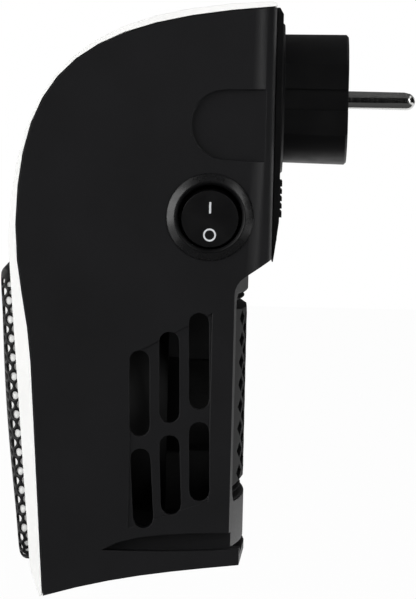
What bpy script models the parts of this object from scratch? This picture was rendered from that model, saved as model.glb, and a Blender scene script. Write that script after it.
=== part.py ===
"""A plug-in fan heater, built as an assembly of separate parts.

The origin is the middle of the plug's front face. +Y points along the pins into the wall,
-Y is the room side with the warm air grille, +Z is up and X is the width. Lengths are metres.
"""

import math

import bmesh
import bpy
from mathutils import Matrix, Vector, geometry

# Clearances and walls
GAP = 0.0003
OVERRUN = 0.002
ROOT_OVERLAP = 0.0005
ROUND_END_FLAT = 0.0001
WALL = 0.0025

# Plug and pins
PIN_DIAMETER = 0.0048
PIN_LENGTH = 0.019
PIN_SPACING = 0.019
PIN_TAIL_DIAMETER = 0.0032
PIN_TAIL_LENGTH = 0.006
PIN_COLLAR_WIDTH = 0.001
PIN_COLLAR_LENGTH = 0.0012
CLIP_WALL = 0.0009
CLIP_LENGTH = 0.005
PLUG_LENGTH = 0.0181
PLUG_RADIUS = 0.01825
PLUG_FACE_FLARE = 0.00025
PLUG_FACE_CHAMFER = 0.0006
PLUG_FLAT_HALF_HEIGHT = 0.0098
GUIDE_HALF_HEIGHT = 0.003
GUIDE_DEPTH = 0.001
INSERT_HALF_LENGTH = 0.013
INSERT_HALF_HEIGHT = 0.0055
INSERT_DEPTH = 0.006

# Turntable that lets the heater swivel on its plug
TURNTABLE_RADIUS = 0.0215
TURNTABLE_PROUD = 0.0009
TURNTABLE_CLEARANCE = 0.0006
FLANGE_OVERLAP = 0.0018
RETAINER_THICKNESS = 0.0015
RETAINER_BOSS_CLEARANCE = 0.0055
RETAINER_TOP = 0.0228
RETAINER_BOTTOM = -0.0425
RETAINER_CORNER = 0.004
WIRE_HOLE_RADIUS = 0.0136

# Rear cover on the upper box
COVER_STANDS = 0.0020
COVER_EDGE = 0.0045
COVER_BOTTOM = -0.0455
COVER_CORNER = 0.005
COVER_TOP_CHAMFER = 0.0018
COVER_TAPER_HEIGHT = 0.0114
COVER_TAPER = 0.0014
COVER_SCREW_INSET = 0.0035
COVER_SCREW_HIGH = 0.0190
COVER_SCREW_LOW = -0.0380
SCREW_RADIUS = 0.00125
SCREW_HEAD_RADIUS = 0.0026
SCREW_HEAD_HEIGHT = 0.0009
SCREW_SLOT_WIDTH = 0.0007
SCREW_SLOT_DEPTH = 0.0004
SCREW_CROWN_SHARE = 0.6

# Lock slider under the turntable
SLIDER_HALF_WIDTH = 0.008
SLIDER_TOP = -0.0233
SLIDER_HEIGHT = 0.0104
SLIDER_PROUD = 0.0010
SLIDER_TRAVEL = 0.003
SLIDER_FLANGE = 0.002
SLIDER_TONGUE_GAP = 0.0006
SLIDER_RIBS = 4
SLIDER_GROOVE = 0.0009

# Housing seen from the side
BODY_WIDTH = 0.092
BODY_DEPTH = 0.0707
BODY_TOP = 0.0256
BROW_HEIGHT = -0.0358
TOP_SLOPE = math.radians(5)
TOP_HANDLE_SHARE = 0.7468
BROW_HANDLE = 0.0448
CHIN_DROP = 0.0382
CHIN_SETBACK = 0.0050
CHIN_HANDLE = 0.014
HOUSING_LEAN = math.radians(4.04)
FRONT_LEAN = math.radians(5.07)
FOOT_HEIGHT = -0.1388
FOOT_SLOPE = math.radians(17)
FOOT_HANDLE = 0.020
TAIL_HEIGHT = -0.1290
TAIL_SLOPE = math.radians(6.5)
TAIL_REAR = -0.0282
BOX_CORNER = 0.0065
SHELF_HEIGHT = -0.0443
SHELF_SLOPE = math.radians(34)
SHELF_FILLET = 0.006
LOWER_BACK = -0.0269
CROWN_RISE = 0.0044
BACK_CORNER = 0.0018
LIP_HEIGHT = -0.1243
LIP_BULGE = 0.0017
SWEEP_STEPS = 12
CHIN_STEPS = 4
FOOT_STEPS = 6

# Inside of the housing
BASE_HEIGHT = -0.1170
BASE_SIDE = 0.0058
RAIL_THICKNESS = 0.0012
RAIL_REACH = 0.0030
BOSS_INSET = 0.0105
BOSS_HEIGHT = 0.0155
BOSS_RADIUS = 0.0034
BOSS_LENGTH = 0.0165
BOSS_MEETING_GAP = 0.0003
SHELL_SCREW_LENGTH = 0.024

# Marks in the side walls
SLOT_WIDTH = 0.0056
SLOT_PITCH = 0.00825
SLOT_COLUMNS = 3
SLOT_FRONT = -0.0563
SLOT_TOP = -0.0700
SLOT_MIDDLE = -0.0956
SLOT_BOTTOM = -0.1194
SLOT_WEB = 0.0034
SLOT_TOP_RISE = 0.00535
SLOT_MIDDLE_RISE = 0.0039
SLOT_BOTTOM_RISE = 0.00395
SLOT_LEAN = math.radians(1.4)
SLOT_EXTRA_LEAN = math.radians(1.3)
SLOT_POCKET_DEPTH = 0.0004
THUMB_FRONT_CENTRE = -0.0347
THUMB_HEIGHT = -0.0071
THUMB_RADIUS = 0.0097
THUMB_FLARE = 0.0007
THUMB_DEPTH = 0.0015
THUMB_SLOPE = 0.0011
GROOVE_TIP = -0.0662
GROOVE_TIP_HEIGHT = -0.1257
GROOVE_TOP = -0.1202
GROOVE_BOTTOM = -0.1243
GROOVE_BELLY = -0.1259
GROOVE_DEPTH = 0.0042

# White front shell
SHELL_TOP_THICKNESS = 0.0016
SHELL_END_RADIUS = 0.0011
SHELL_SLOPE = math.radians(2.5)
SHELL_TOP_EASE = -0.0002
SHELL_BROW_THICKNESS = 0.0021
SHELL_BROW_DROP = 0.0045
SHELL_BROW_EASE = 0.0032
SHELL_CHEEK_HEIGHT = -0.0500
SHELL_FACE_THICKNESS = 0.0014
SHELL_TOE_HEIGHT = -0.1310
SHELL_TOE_DEPTH = 0.0011
SHELL_EDGE_ROUND = 0.0011
HOOK_ACROSS = 0.025
HOOK_HALF_WIDTH = 0.004
HOOK_THICKNESS = 0.0013
HOOK_REACH = 0.006

# Perforated front grille, in the plane of the leaning face
GRILLE_HEIGHT = -0.0892
GRILLE_SIDE = 0.0100
GRILLE_HALF_HEIGHT = 0.0413
GRILLE_CORNER = 0.0083
GRILLE_BEND = 0.0023
GRILLE_PROUD = 0.0032
GRILLE_DOME = 0.0020
GRILLE_SHEET = 0.0008
GRILLE_PITCH = 0.0092
GRILLE_HOLE = 0.0072
GRILLE_WALL_HOLE = 0.0020
GRILLE_WALL_HOLE_RISE = 0.0008
FRAME_THICKNESS = 0.0022
FRAME_INNER_LIP = 0.0034
FRAME_COLLAR_RISE = 0.0006
FRAME_CREST_RISE = 0.0011
FRAME_OUTER_LIP = 0.0036
FRAME_END_LIP = 0.0022
STAKE_RADIUS = 0.0010
STAKE_PROUD = 0.0008
STAKE_OUT = 0.0017
STAKE_ALONG = 0.0300

# Rear lattice grille
LATTICE_TOP = -0.0540
LATTICE_BOTTOM = -0.1120
LATTICE_SIDE = 0.0052
LATTICE_CORNER = 0.004
LATTICE_DIAMOND_WIDTH = 0.0172
LATTICE_DIAMOND_HEIGHT = 0.0062
LATTICE_RIB = 0.0014
LATTICE_THICKNESS = 0.0020
LATTICE_BORDER = 0.0024
LATTICE_FLANGE = 0.0018
LATTICE_FLANGE_THICKNESS = 0.0015
LATTICE_RECESS = 0.0002
LATTICE_RIM_START = 0.0008

# Round rocker switch in the right-hand side wall
SWITCH_PLACE = -0.0383
SWITCH_HEIGHT = -0.0327
SWITCH_FLANGE_RADIUS = 0.0121
SWITCH_FLANGE_PROUD = 0.0016
SWITCH_BODY_RADIUS = 0.0106
SWITCH_BORE_RADIUS = 0.0094
SWITCH_BORE_DEPTH = 0.0105
SWITCH_DEPTH = 0.0160
ROCKER_RADIUS = 0.0079
ROCKER_PIVOT_DEPTH = 0.0030
ROCKER_FACE = 0.0034
ROCKER_THROW = math.radians(14)
ROCKER_SKIRT = 0.0014
ROCKER_HEEL_DEPTH = 0.0058
ROCKER_HEEL_HALF = 0.0028
ROCKER_AXLE_RADIUS = 0.0010
ROCKER_AXLE_SEAT = 0.0006
ROCKER_AXLE_CLEARANCE = 0.00008
ROCKER_AXLE_END_GAP = 0.00015
BLADE_WIDTH = 0.0048
BLADE_THICKNESS = 0.0008
BLADE_LENGTH = 0.008
BLADE_SPREAD = 0.0045

# Display and keys behind the brow
LENS_HALF_WIDTH = 0.0150
LENS_TOP = -0.0120
LENS_BOTTOM = -0.0285
LENS_CORNER = 0.002
MODULE_HALF_WIDTH = 0.0130
MODULE_HALF_HEIGHT = 0.0070
MODULE_DEPTH = 0.0022
DISPLAY_BOARD_SETBACK = 0.0087
DISPLAY_BOARD_THICKNESS = 0.0012
DISPLAY_BOARD_HALF_WIDTH = 0.0200
DISPLAY_BOARD_TOP = -0.0090
DISPLAY_BOARD_BOTTOM = -0.0435
KEY_COUNT = 3
KEY_SPACING = 0.0120
KEY_HEIGHT = -0.0385
KEY_RADIUS = 0.0030
KEY_PROUD = 0.0002
KEY_FLANGE = 0.0007
KEY_FLANGE_THICKNESS = 0.0006
KEY_TRAVEL = 0.0005
KEY_CLEARANCE = 0.00045
KEY_REST_GAP = 0.0004
TACT_HALF_WIDTH = 0.0022
TACT_HEIGHT = 0.0026
POST_RADIUS = 0.0018
POST_ACROSS = 0.0175
POST_HIGH = -0.0115
POST_LOW = -0.0320

# Control board over the fan
BOARD_SETBACK = 0.0350
BOARD_THICKNESS = 0.0016
BOARD_TOP = 0.0080
BOARD_BOTTOM = -0.0500
RELAY_SIZE = (0.0190, 0.0150, 0.0155)
RELAY_PLACE = (-0.0120, -0.0120)
TRANSFORMER_SIZE = (0.0220, 0.0180, 0.0180)
TRANSFORMER_PLACE = (0.0165, -0.0050)
CAPACITOR_RADIUS = 0.0050
CAPACITOR_LENGTH = 0.0140
CAPACITOR_INSET = 0.0145
CAPACITOR_RISE = -0.0120

# Fan and motor
REAR_AIR_SPACE = 0.0045
FAN_HEIGHT = -0.0880
MOTOR_RADIUS = 0.0122
MOTOR_LENGTH_SHARE = 0.2122
MOTOR_CAP_THICKNESS = 0.0018
SHAFT_RADIUS = 0.0010
HUB_RADIUS = 0.0090
HUB_GAP = 0.0010
BLADE_TIP_RADIUS = 0.0276
FAN_BLADES = 7
FAN_DEPTH_SHARE = 0.1202
FAN_BLADE_TWIST = math.radians(34)
FAN_BLADE_THICKNESS = 0.0010
TIP_CLEARANCE = 0.0014
DUCT_WALL = 0.0018
DUCT_PLATE = 0.0020
DUCT_TOP = -0.0574
DUCT_BOTTOM = -0.1230
ARM_COUNT = 4
ARM_WIDTH = 0.0030
ARM_THICKNESS = 0.0020
CUP_WALL = 0.0013
CUP_LENGTH = 0.0080
BEARING_SHARE = 0.6
SHAFT_IN_MOTOR_SHARE = 0.55
CAP_BOSS_SHARE = 0.3
HUB_STRAIGHT_SHARE = 0.75
HUB_FRONT_SHARE = 0.7
HUB_BORE_SHARE = 0.8
BLADE_ROOT_SHARE = 0.85
BLADE_CHORD_SHARE = 0.8
BLADE_PITCH_SHARE = 0.4
BLADE_CAMBER_SHARE = 0.4

# Heater
HEATER_SIDE = 0.0090
HEATER_HALF_HEIGHT = 0.0270
HEATER_FRONT_SPACE = 0.0025
HEATER_RIM = 0.0040
HEATER_SPACE = 0.0020
HEATER_EAR = 0.0030
HEATER_BARS = 3
HEATER_BAR_HEIGHT = 0.0026
HEATER_FIN_PITCH = 0.0070
HEATER_FIN_SHEET = 0.0004
HEATER_INSET = 0.0010
TERMINAL_WIDTH = 0.0063
TERMINAL_THICKNESS = 0.0008
TERMINAL_HEIGHT = 0.0080
TERMINAL_INSET = 0.0090
CUTOUT_RADIUS_SHARE = 0.5
CUTOUT_HEIGHT = 0.0045
CUTOUT_ACROSS = 0.0120
CUTOUT_STEP_SHARE = 0.6
FUSE_RADIUS = 0.0020
FUSE_LENGTH = 0.0100
FUSE_ACROSS = -0.0120

# Places that follow from the sizes above
COVER_FACE = -(PLUG_LENGTH + TURNTABLE_PROUD)
BOX_REAR = COVER_FACE - COVER_STANDS
BROW = BOX_REAR - BODY_DEPTH
HALF_WIDTH = BODY_WIDTH / 2
TOP_HANDLE = BODY_DEPTH * TOP_HANDLE_SHARE
MOTOR_LENGTH = BODY_DEPTH * MOTOR_LENGTH_SHARE
FAN_DEPTH = BODY_DEPTH * FAN_DEPTH_SHARE
BASE_HALF_WIDTH = HALF_WIDTH - BASE_SIDE
BOSS_ACROSS = HALF_WIDTH - BOSS_INSET
RETAINER_HALF_WIDTH = BOSS_ACROSS - RETAINER_BOSS_CLEARANCE
COVER_SCREW_ACROSS = RETAINER_HALF_WIDTH - COVER_SCREW_INSET
COVER_HALF_WIDTH = COVER_SCREW_ACROSS + COVER_EDGE
SHELL_TOP = BODY_TOP + SHELL_TOP_THICKNESS
SHELL_TOP_HANDLE = TOP_HANDLE + SHELL_TOP_EASE
SHELL_BROW = BROW - SHELL_BROW_THICKNESS
SHELL_BROW_HEIGHT = BROW_HEIGHT - SHELL_BROW_DROP
SHELL_BROW_HANDLE = BROW_HANDLE + SHELL_BROW_EASE
SHELL_FACE_REACH = BROW - SHELL_FACE_THICKNESS
GRILLE_HALF_WIDTH = HALF_WIDTH - GRILLE_SIDE
STAKE_ACROSS = GRILLE_HALF_WIDTH + STAKE_OUT
LATTICE_HALF_WIDTH = HALF_WIDTH - LATTICE_SIDE
HEATER_HALF_WIDTH = HALF_WIDTH - HEATER_SIDE
TERMINAL_ACROSS = HEATER_HALF_WIDTH - TERMINAL_INSET
CROWN_RADIUS = (HALF_WIDTH**2 + CROWN_RISE**2) / (2 * CROWN_RISE)
FLANGE_RADIUS = TURNTABLE_RADIUS + FLANGE_OVERLAP
INNER_WALL = HALF_WIDTH - WALL
RETAINER_FRONT = BOX_REAR - WALL - GAP

# Planes that flat outlines are drawn in: the turn, and the way that their thickness runs
SIDE = (Matrix(((0, 0, 1, 0), (1, 0, 0, 0), (0, 1, 0, 0), (0, 0, 0, 1))), 1)
FRONT = (Matrix.Rotation(math.pi / 2, 4, "X"), -1)
PLAN = (Matrix.Identity(4), 1)

# Finishes: sRGB colour, roughness and metallic
FINISHES = {
    "black_plastic": ("1c1c1e", 0.45, 0.0),
    "white_plastic": ("eeeeec", 0.35, 0.0),
    "black_mesh": ("151516", 0.40, 0.6),
    "smoked_lens": ("0b0b0d", 0.10, 0.0),
    "nickel": ("c9c7c2", 0.22, 1.0),
    "brass": ("b79a55", 0.30, 1.0),
    "steel": ("a8a9ab", 0.35, 1.0),
    "aluminium": ("c4c6c8", 0.35, 1.0),
    "grey_plastic": ("55585c", 0.50, 0.0),
    "green_board": ("1f4a33", 0.50, 0.0),
    "blue_relay": ("27508a", 0.45, 0.0),
    "heat_board": ("b9ad93", 0.70, 0.0),
}


def clear_scene():
    for thing in list(bpy.data.objects):
        bpy.data.objects.remove(thing, do_unlink=True)


def new_collection(name):
    collection = bpy.data.collections.new(name)
    bpy.context.scene.collection.children.link(collection)
    return collection


clear_scene()
PARTS = new_collection("plug_in_fan_heater")
CUTTERS = new_collection("cutters")


def linear(channel):
    share = int(channel, 16) / 255
    return share / 12.92 if share <= 0.04045 else ((share + 0.055) / 1.055) ** 2.4


def material(name):
    """A Principled material of one finish, made once."""
    if name in bpy.data.materials:
        return bpy.data.materials[name]
    colour, roughness, metallic = FINISHES[name]
    made = bpy.data.materials.new(name)
    made.use_nodes = True
    shader = made.node_tree.nodes["Principled BSDF"]
    red, green, blue = (linear(colour[i : i + 2]) for i in (0, 2, 4))
    shader.inputs["Base Color"].default_value = (red, green, blue, 1)
    shader.inputs["Roughness"].default_value = roughness
    shader.inputs["Metallic"].default_value = metallic
    made.diffuse_color = (red, green, blue, 1)
    return made


def new_object(name, mesh):
    thing = bpy.data.objects.new(name, mesh)
    PARTS.objects.link(thing)
    return thing


def as_mesh(drawn):
    """Turn a curve object into a mesh object with its caps welded."""
    bpy.context.view_layer.update()
    seen = drawn.evaluated_get(bpy.context.evaluated_depsgraph_get())
    mesh = bpy.data.meshes.new_from_object(seen)
    work = bmesh.new()
    work.from_mesh(mesh)
    bmesh.ops.remove_doubles(work, verts=work.verts, dist=GAP / 100)
    work.to_mesh(mesh)
    work.free()
    made = new_object(drawn.name, mesh)
    made.matrix_world = drawn.matrix_world
    bpy.data.objects.remove(drawn, do_unlink=True)
    return made


def flat_solid(name, loops, plane, low, high):
    """Extrude flat outlines across their plane, from one place to another."""
    turn, way = plane
    curve = bpy.data.curves.new(name, "CURVE")
    curve.dimensions = "2D"
    curve.fill_mode = "BOTH"
    curve.extrude = (high - low) / 2
    for loop in loops:
        spline = curve.splines.new("POLY")
        spline.points.add(len(loop) - 1)
        for point, (across, up) in zip(spline.points, loop):
            point.co = (across, up, 0, 1)
        spline.use_cyclic_u = True
    drawn = bpy.data.objects.new(name, curve)
    PARTS.objects.link(drawn)
    drawn.matrix_world = turn @ Matrix.Translation((0, 0, way * (low + high) / 2))
    return as_mesh(drawn)


def blocks(name, boxes):
    """One mesh of boxes, each given by its lowest and highest corners."""
    work = bmesh.new()
    for low, high in boxes:
        low, high = Vector(low), Vector(high)
        size = Matrix.Diagonal((*(high - low), 1))
        bmesh.ops.create_cube(work, size=1, matrix=Matrix.Translation((low + high) / 2) @ size)
    mesh = bpy.data.meshes.new(name)
    work.to_mesh(mesh)
    work.free()
    return new_object(name, mesh)


def mirrored_boxes(boxes):
    """The same boxes on both sides of the middle plane."""
    both = []
    for low, high in boxes:
        both.append((low, high))
        both.append(((-high[0], low[1], low[2]), (-low[0], high[1], high[2])))
    return both


def turn_to(axis):
    """The rotation that lays a turned shape's own Z along a world axis."""
    return Vector((0, 0, 1)).rotation_difference(Vector(axis)).to_matrix().to_4x4()


def rod(name, axis, start, end, radius, steps=16):
    """A round bar between two points on a line along an axis."""
    start, end = Vector(start), Vector(end)
    work = bmesh.new()
    bmesh.ops.create_cone(
        work, cap_ends=True, segments=steps, radius1=radius, radius2=radius, depth=(end - start).length
    )
    mesh = bpy.data.meshes.new(name)
    work.to_mesh(mesh)
    work.free()
    made = new_object(name, mesh)
    made.matrix_world = Matrix.Translation((start + end) / 2) @ turn_to(axis)
    return made


def turned(name, profile, axis, place, steps):
    """Turn a profile, given as radius and distance along the axis, running down its outer side."""
    mesh = bpy.data.meshes.new(name)
    count = len(profile)
    closed = profile[0][0] > 0
    edges = [(i, i + 1) for i in range(count - 1)]
    if closed:
        edges.append((count - 1, 0))
    mesh.from_pydata([(radius, 0, along) for radius, along in profile], edges, [])
    made = new_object(name, mesh)
    screw = made.modifiers.new("turn", "SCREW")
    screw.steps = steps
    screw.render_steps = steps
    screw.use_merge_vertices = True
    screw.merge_threshold = GAP / 100
    screw.use_smooth_shade = True
    made.matrix_world = Matrix.Translation(place) @ turn_to(axis)
    return made


def as_cutter(tool):
    if tool.name in PARTS.objects:
        PARTS.objects.unlink(tool)
        CUTTERS.objects.link(tool)
    tool.hide_render = True
    tool.display_type = "WIRE"


def combine(target, tool, operation):
    boolean = target.modifiers.new(operation.lower(), "BOOLEAN")
    boolean.object = tool
    boolean.operation = operation
    boolean.solver = "EXACT"
    as_cutter(tool)
    return target


def cut(target, tool):
    return combine(target, tool, "DIFFERENCE")


def join(target, tool):
    return combine(target, tool, "UNION")


def keep(target, tool):
    return combine(target, tool, "INTERSECT")


def round_edges(target, width, segments, wanted):
    """Bevel the edges of a mesh that a test picks by their two ends in world space."""
    mesh = target.data
    bpy.context.view_layer.update()
    places = [target.matrix_world @ vertex.co for vertex in mesh.vertices]
    weights = mesh.attributes.new("bevel_weight_edge", "FLOAT", "EDGE")
    for edge in mesh.edges:
        first, second = (places[i] for i in edge.vertices)
        weights.data[edge.index].value = 1.0 if wanted(first, second) else 0.0
    bevel = target.modifiers.new("rounded edges", "BEVEL")
    bevel.width = width
    bevel.segments = segments
    bevel.limit_method = "WEIGHT"
    return target


def bevel_sharp(target, width, segments=2, angle=math.radians(50)):
    bevel = target.modifiers.new("rounded edges", "BEVEL")
    bevel.width = width
    bevel.segments = segments
    bevel.limit_method = "ANGLE"
    bevel.angle_limit = angle
    return target


def finish_part(thing, name, finish, body):
    """Name a finished sub-part, give it its material and hang it on its body."""
    thing.name = name
    thing.data.name = name
    thing.data.materials.clear()
    thing.data.materials.append(material(finish))
    bpy.context.view_layer.update()
    thing.parent = body
    thing.matrix_parent_inverse = body.matrix_world.inverted()
    thing.data.shade_smooth()
    thing.data.set_sharp_from_angle(angle=math.radians(35))
    return thing


def body_at(name, place):
    """An empty that stands for a moving body, on its joint's axis."""
    empty = bpy.data.objects.new(name, None)
    PARTS.objects.link(empty)
    empty.location = place
    empty.empty_display_size = PLUG_RADIUS
    bpy.context.view_layer.update()
    return empty


def bezier(start, start_handle, end_handle, end, steps):
    """Points along one curved stretch of an outline, both ends included."""
    handles = [Vector((*point, 0)) for point in (start, start_handle, end_handle, end)]
    points = geometry.interpolate_bezier(*handles, steps + 1)
    return [(point.x, point.y) for point in points]


def arc(centre, radius, first, last, steps):
    """Points on an arc between two angles, both ends included."""
    angles = [first + (last - first) * i / steps for i in range(steps + 1)]
    return [(centre[0] + radius * math.cos(a), centre[1] + radius * math.sin(a)) for a in angles]


def rounded_corner(before, corner, after, radius, steps):
    corner = Vector(corner)
    back = (Vector(before) - corner).normalized()
    onward = (Vector(after) - corner).normalized()
    half_angle = back.angle(onward) / 2
    centre = corner + (back + onward).normalized() * radius / math.sin(half_angle)
    first = corner + back * radius / math.tan(half_angle) - centre
    last = corner + onward * radius / math.tan(half_angle) - centre
    points = []
    for i in range(steps + 1):
        spoke = first.slerp(last, i / steps).normalized() * radius
        points.append((centre.x + spoke.x, centre.y + spoke.y))
    return points


def rounded(corners, radii, steps):
    """An outline with each corner rounded by its own radius; 0 leaves it sharp."""
    outline = []
    for i, corner in enumerate(corners):
        if radii[i] > 0:
            after = corners[(i + 1) % len(corners)]
            outline += rounded_corner(corners[i - 1], corner, after, radii[i], steps)
        else:
            outline.append(corner)
    return outline


def rounded_box(left, right, bottom, top, radius, steps=4):
    corners = [(left, bottom), (right, bottom), (right, top), (left, top)]
    return rounded(corners, [radius] * 4, steps)


def circle(centre, radius, steps):
    return arc(centre, radius, 0, 2 * math.pi, steps)[:-1]


def moved_out(outline, amounts):
    """Move each side of a counter-clockwise outline outwards and join the sides again."""
    sides = []
    for i, point in enumerate(outline):
        start = Vector(point)
        along = (Vector(outline[(i + 1) % len(outline)]) - start).normalized()
        sides.append((start + Vector((along.y, -along.x)) * amounts[i], along))
    moved = []
    for i, (start, along) in enumerate(sides):
        before, direction = sides[i - 1]
        cross = direction.cross(along)
        reach = (start - before).cross(along) / cross if abs(cross) > 1e-6 else 0
        meeting = before + direction * reach if reach else start
        moved.append((meeting.x, meeting.y))
    return moved


def at_slope(point, distance, angle):
    """The point a distance away in a direction."""
    return (point[0] + distance * math.cos(angle), point[1] + distance * math.sin(angle))


def housing_outline():
    """Side view of the housing: its open front and top, then its closed bottom and back."""
    top = (BOX_REAR, BODY_TOP)
    brow = (BROW, BROW_HEIGHT)
    top_handle = at_slope(top, TOP_HANDLE, math.pi + TOP_SLOPE)
    brow_handle = (BROW, BROW_HEIGHT + BROW_HANDLE)
    sweep = bezier(top, top_handle, brow_handle, brow, SWEEP_STEPS)
    chin = (BROW + CHIN_SETBACK, BROW_HEIGHT - CHIN_DROP)
    chin_handle = at_slope(chin, CHIN_HANDLE, math.pi / 2 + HOUSING_LEAN)
    cheek = bezier(brow, (BROW, BROW_HEIGHT - CHIN_HANDLE), chin_handle, chin, CHIN_STEPS)
    foot = (chin[0] + (chin[1] - FOOT_HEIGHT) * math.tan(HOUSING_LEAN), FOOT_HEIGHT)
    tail = (TAIL_REAR, TAIL_HEIGHT)
    foot_handle = at_slope(foot, FOOT_HANDLE, FOOT_SLOPE)
    tail_handle = at_slope(tail, FOOT_HANDLE, math.pi + TAIL_SLOPE)
    sole = bezier(foot, foot_handle, tail_handle, tail, FOOT_STEPS)
    rear_foot = (BOX_REAR, TAIL_HEIGHT + (BOX_REAR - TAIL_REAR) * math.tan(TAIL_SLOPE))
    return sweep + cheek[1:] + [foot], sole[1:] + [rear_foot]


def crowned_back(inset):
    """Plan of the lower back, a wide arc between rounded corners, from +X to -X."""
    half = HALF_WIDTH - inset
    radius = CROWN_RADIUS - inset
    corner = max(BACK_CORNER - inset, GAP)
    across = half - corner
    centre = LOWER_BACK - CROWN_RADIUS
    along = centre + math.sqrt((radius - corner) ** 2 - across**2)
    meeting = math.atan2(along - centre, across)
    turn = arc((across, along), corner, 0, meeting, 2)
    crown = arc((0, centre), radius, meeting, math.pi / 2, 7)
    right = turn + crown[1:]
    left = [(-across_place, depth) for across_place, depth in reversed(right[:-1])]
    return right + left


def rear_undercut(name, inset):
    """The space behind the crowned lower back and under the sloping shelf of the upper box."""
    back = crowned_back(inset)
    outer = HALF_WIDTH + OVERRUN
    outline = [(outer, back[0][1])] + back + [(-outer, back[-1][1]), (-outer, 0), (outer, 0)]
    space = flat_solid(name, [outline], PLAN, LIP_HEIGHT, 0)
    edge = back[0][1] + BACK_CORNER - inset
    lowest = 2 * FOOT_HEIGHT
    shelf = (edge, SHELF_HEIGHT + (edge - BOX_REAR) * math.tan(SHELF_SLOPE))
    rear_end = (0, SHELF_HEIGHT - BOX_REAR * math.tan(SHELF_SLOPE))
    moved = moved_out([shelf, (edge, lowest), (0, lowest), rear_end], [0, 0, 0, inset])
    wedge = rounded(moved, [SHELF_FILLET, 0, 0, 0], 4)
    return keep(space, flat_solid(name + "_wedge", [wedge], SIDE, -outer, outer))


def lip_undercut(name):
    """The space behind the small lip at the very bottom of the back."""
    outer = HALF_WIDTH + OVERRUN
    middle = TAIL_REAR + LIP_BULGE
    outline = [(-outer, TAIL_REAR), (0, middle), (outer, TAIL_REAR), (outer, 0), (-outer, 0)]
    return flat_solid(name, [outline], PLAN, 2 * FOOT_HEIGHT, LIP_HEIGHT + OVERRUN)


def box_plan(inset):
    """Plan of the whole body, with the rounded vertical corners of the upper box."""
    half = HALF_WIDTH - inset
    front = 2 * BROW
    corners = [(-half, front), (half, front), (half, BOX_REAR - inset), (-half, BOX_REAR - inset)]
    corner = max(BOX_CORNER - inset, GAP)
    return rounded(corners, [0, 0, corner, corner], 5)


def housing_body():
    front, back = housing_outline()
    body = flat_solid("rear_housing", [front + back], SIDE, -HALF_WIDTH - OVERRUN, HALF_WIDTH + OVERRUN)
    keep(body, flat_solid("body_plan", [box_plan(0)], PLAN, 2 * FOOT_HEIGHT, -FOOT_HEIGHT))
    cut(body, rear_undercut("behind_lower_back", 0))
    cut(body, lip_undercut("behind_lip"))
    return body


def housing_hollow():
    """The inside of the housing, open at its front and top and narrower between its thick base sides."""
    front, back = housing_outline()
    amounts = [OVERRUN] * (len(front) - 1) + [-WALL] * (len(back) + 1)
    outline = moved_out(front + back, amounts)
    hollow = flat_solid("hollow", [outline], SIDE, -HALF_WIDTH, HALF_WIDTH)
    keep(hollow, flat_solid("hollow_plan", [box_plan(WALL)], PLAN, 2 * FOOT_HEIGHT, -FOOT_HEIGHT))
    cut(hollow, rear_undercut("hollow_back", WALL))
    base_side = ((BASE_HALF_WIDTH, 2 * BROW, 2 * FOOT_HEIGHT), (HALF_WIDTH + OVERRUN, 0, BASE_HEIGHT))
    cut(hollow, blocks("base_sides", mirrored_boxes([base_side])))
    return hollow


def slot_places():
    """Top and bottom of each side slot: column by column from the front, upper then lower."""
    slots = []
    for column in range(SLOT_COLUMNS):
        lower_lean = SLOT_LEAN + SLOT_EXTRA_LEAN * (SLOT_COLUMNS - 1 - column)
        depth = SLOT_FRONT + column * SLOT_PITCH
        middle = SLOT_MIDDLE + column * SLOT_MIDDLE_RISE
        top = SLOT_TOP + column * SLOT_TOP_RISE
        bottom = SLOT_BOTTOM + column * SLOT_BOTTOM_RISE
        slots.append((depth, middle + SLOT_WEB / 2, top, SLOT_LEAN))
        slots.append((depth, bottom, middle - SLOT_WEB / 2, lower_lean))
    return slots


def slot_outline(depth, bottom, top, lean):
    """A slot with round ends that leans back from its end nearest the web."""
    half = SLOT_WIDTH / 2
    outline = rounded_box(depth - half, depth + half, bottom, top, half - ROUND_END_FLAT, 3)
    pivot = Vector((depth, SLOT_MIDDLE))
    turned_points = [pivot + Matrix.Rotation(lean, 2) @ (Vector(point) - pivot) for point in outline]
    return [(point.x, point.y) for point in turned_points]


def slot_pocket():
    """The slightly sunk field that the side slots stand in."""
    first, last = slot_places()[0], slot_places()[-2]
    low_first, low_last = slot_places()[1], slot_places()[-1]
    half = SLOT_WIDTH / 2
    return [
        (low_first[0] - half, low_first[1]),
        (low_last[0] + half, low_last[1]),
        (last[0] + half, last[2]),
        (first[0] - half, first[2] - SLOT_TOP_RISE / 4),
    ]


def thumb_outline():
    """The thumb recess: a half circle in front, running out at the back of the box."""
    front_arc = arc((THUMB_FRONT_CENTRE, THUMB_HEIGHT), THUMB_RADIUS, math.pi / 2, 3 * math.pi / 2, 10)
    rear = BOX_REAR + OVERRUN
    low = THUMB_HEIGHT - THUMB_RADIUS - THUMB_FLARE
    high = THUMB_HEIGHT + THUMB_RADIUS + THUMB_FLARE / 2
    return [(rear, high)] + front_arc + [(rear, low)]


def groove_outline():
    """The crescent finger groove near the bottom, from a point in front to its open end at the back."""
    tip = (GROOVE_TIP, GROOVE_TIP_HEIGHT)
    rear = TAIL_REAR + OVERRUN
    third = (rear - GROOVE_TIP) / 3
    near_tip = GROOVE_TIP + third / 2
    near_rear = rear - third
    upper = bezier((rear, GROOVE_TOP), (near_rear, GROOVE_TOP), (near_tip, GROOVE_TOP - GAP), tip, 6)
    lower = bezier(tip, (near_tip, GROOVE_BELLY), (near_rear, GROOVE_BELLY), (rear, GROOVE_BOTTOM), 4)
    return upper + lower[1:]


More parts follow.
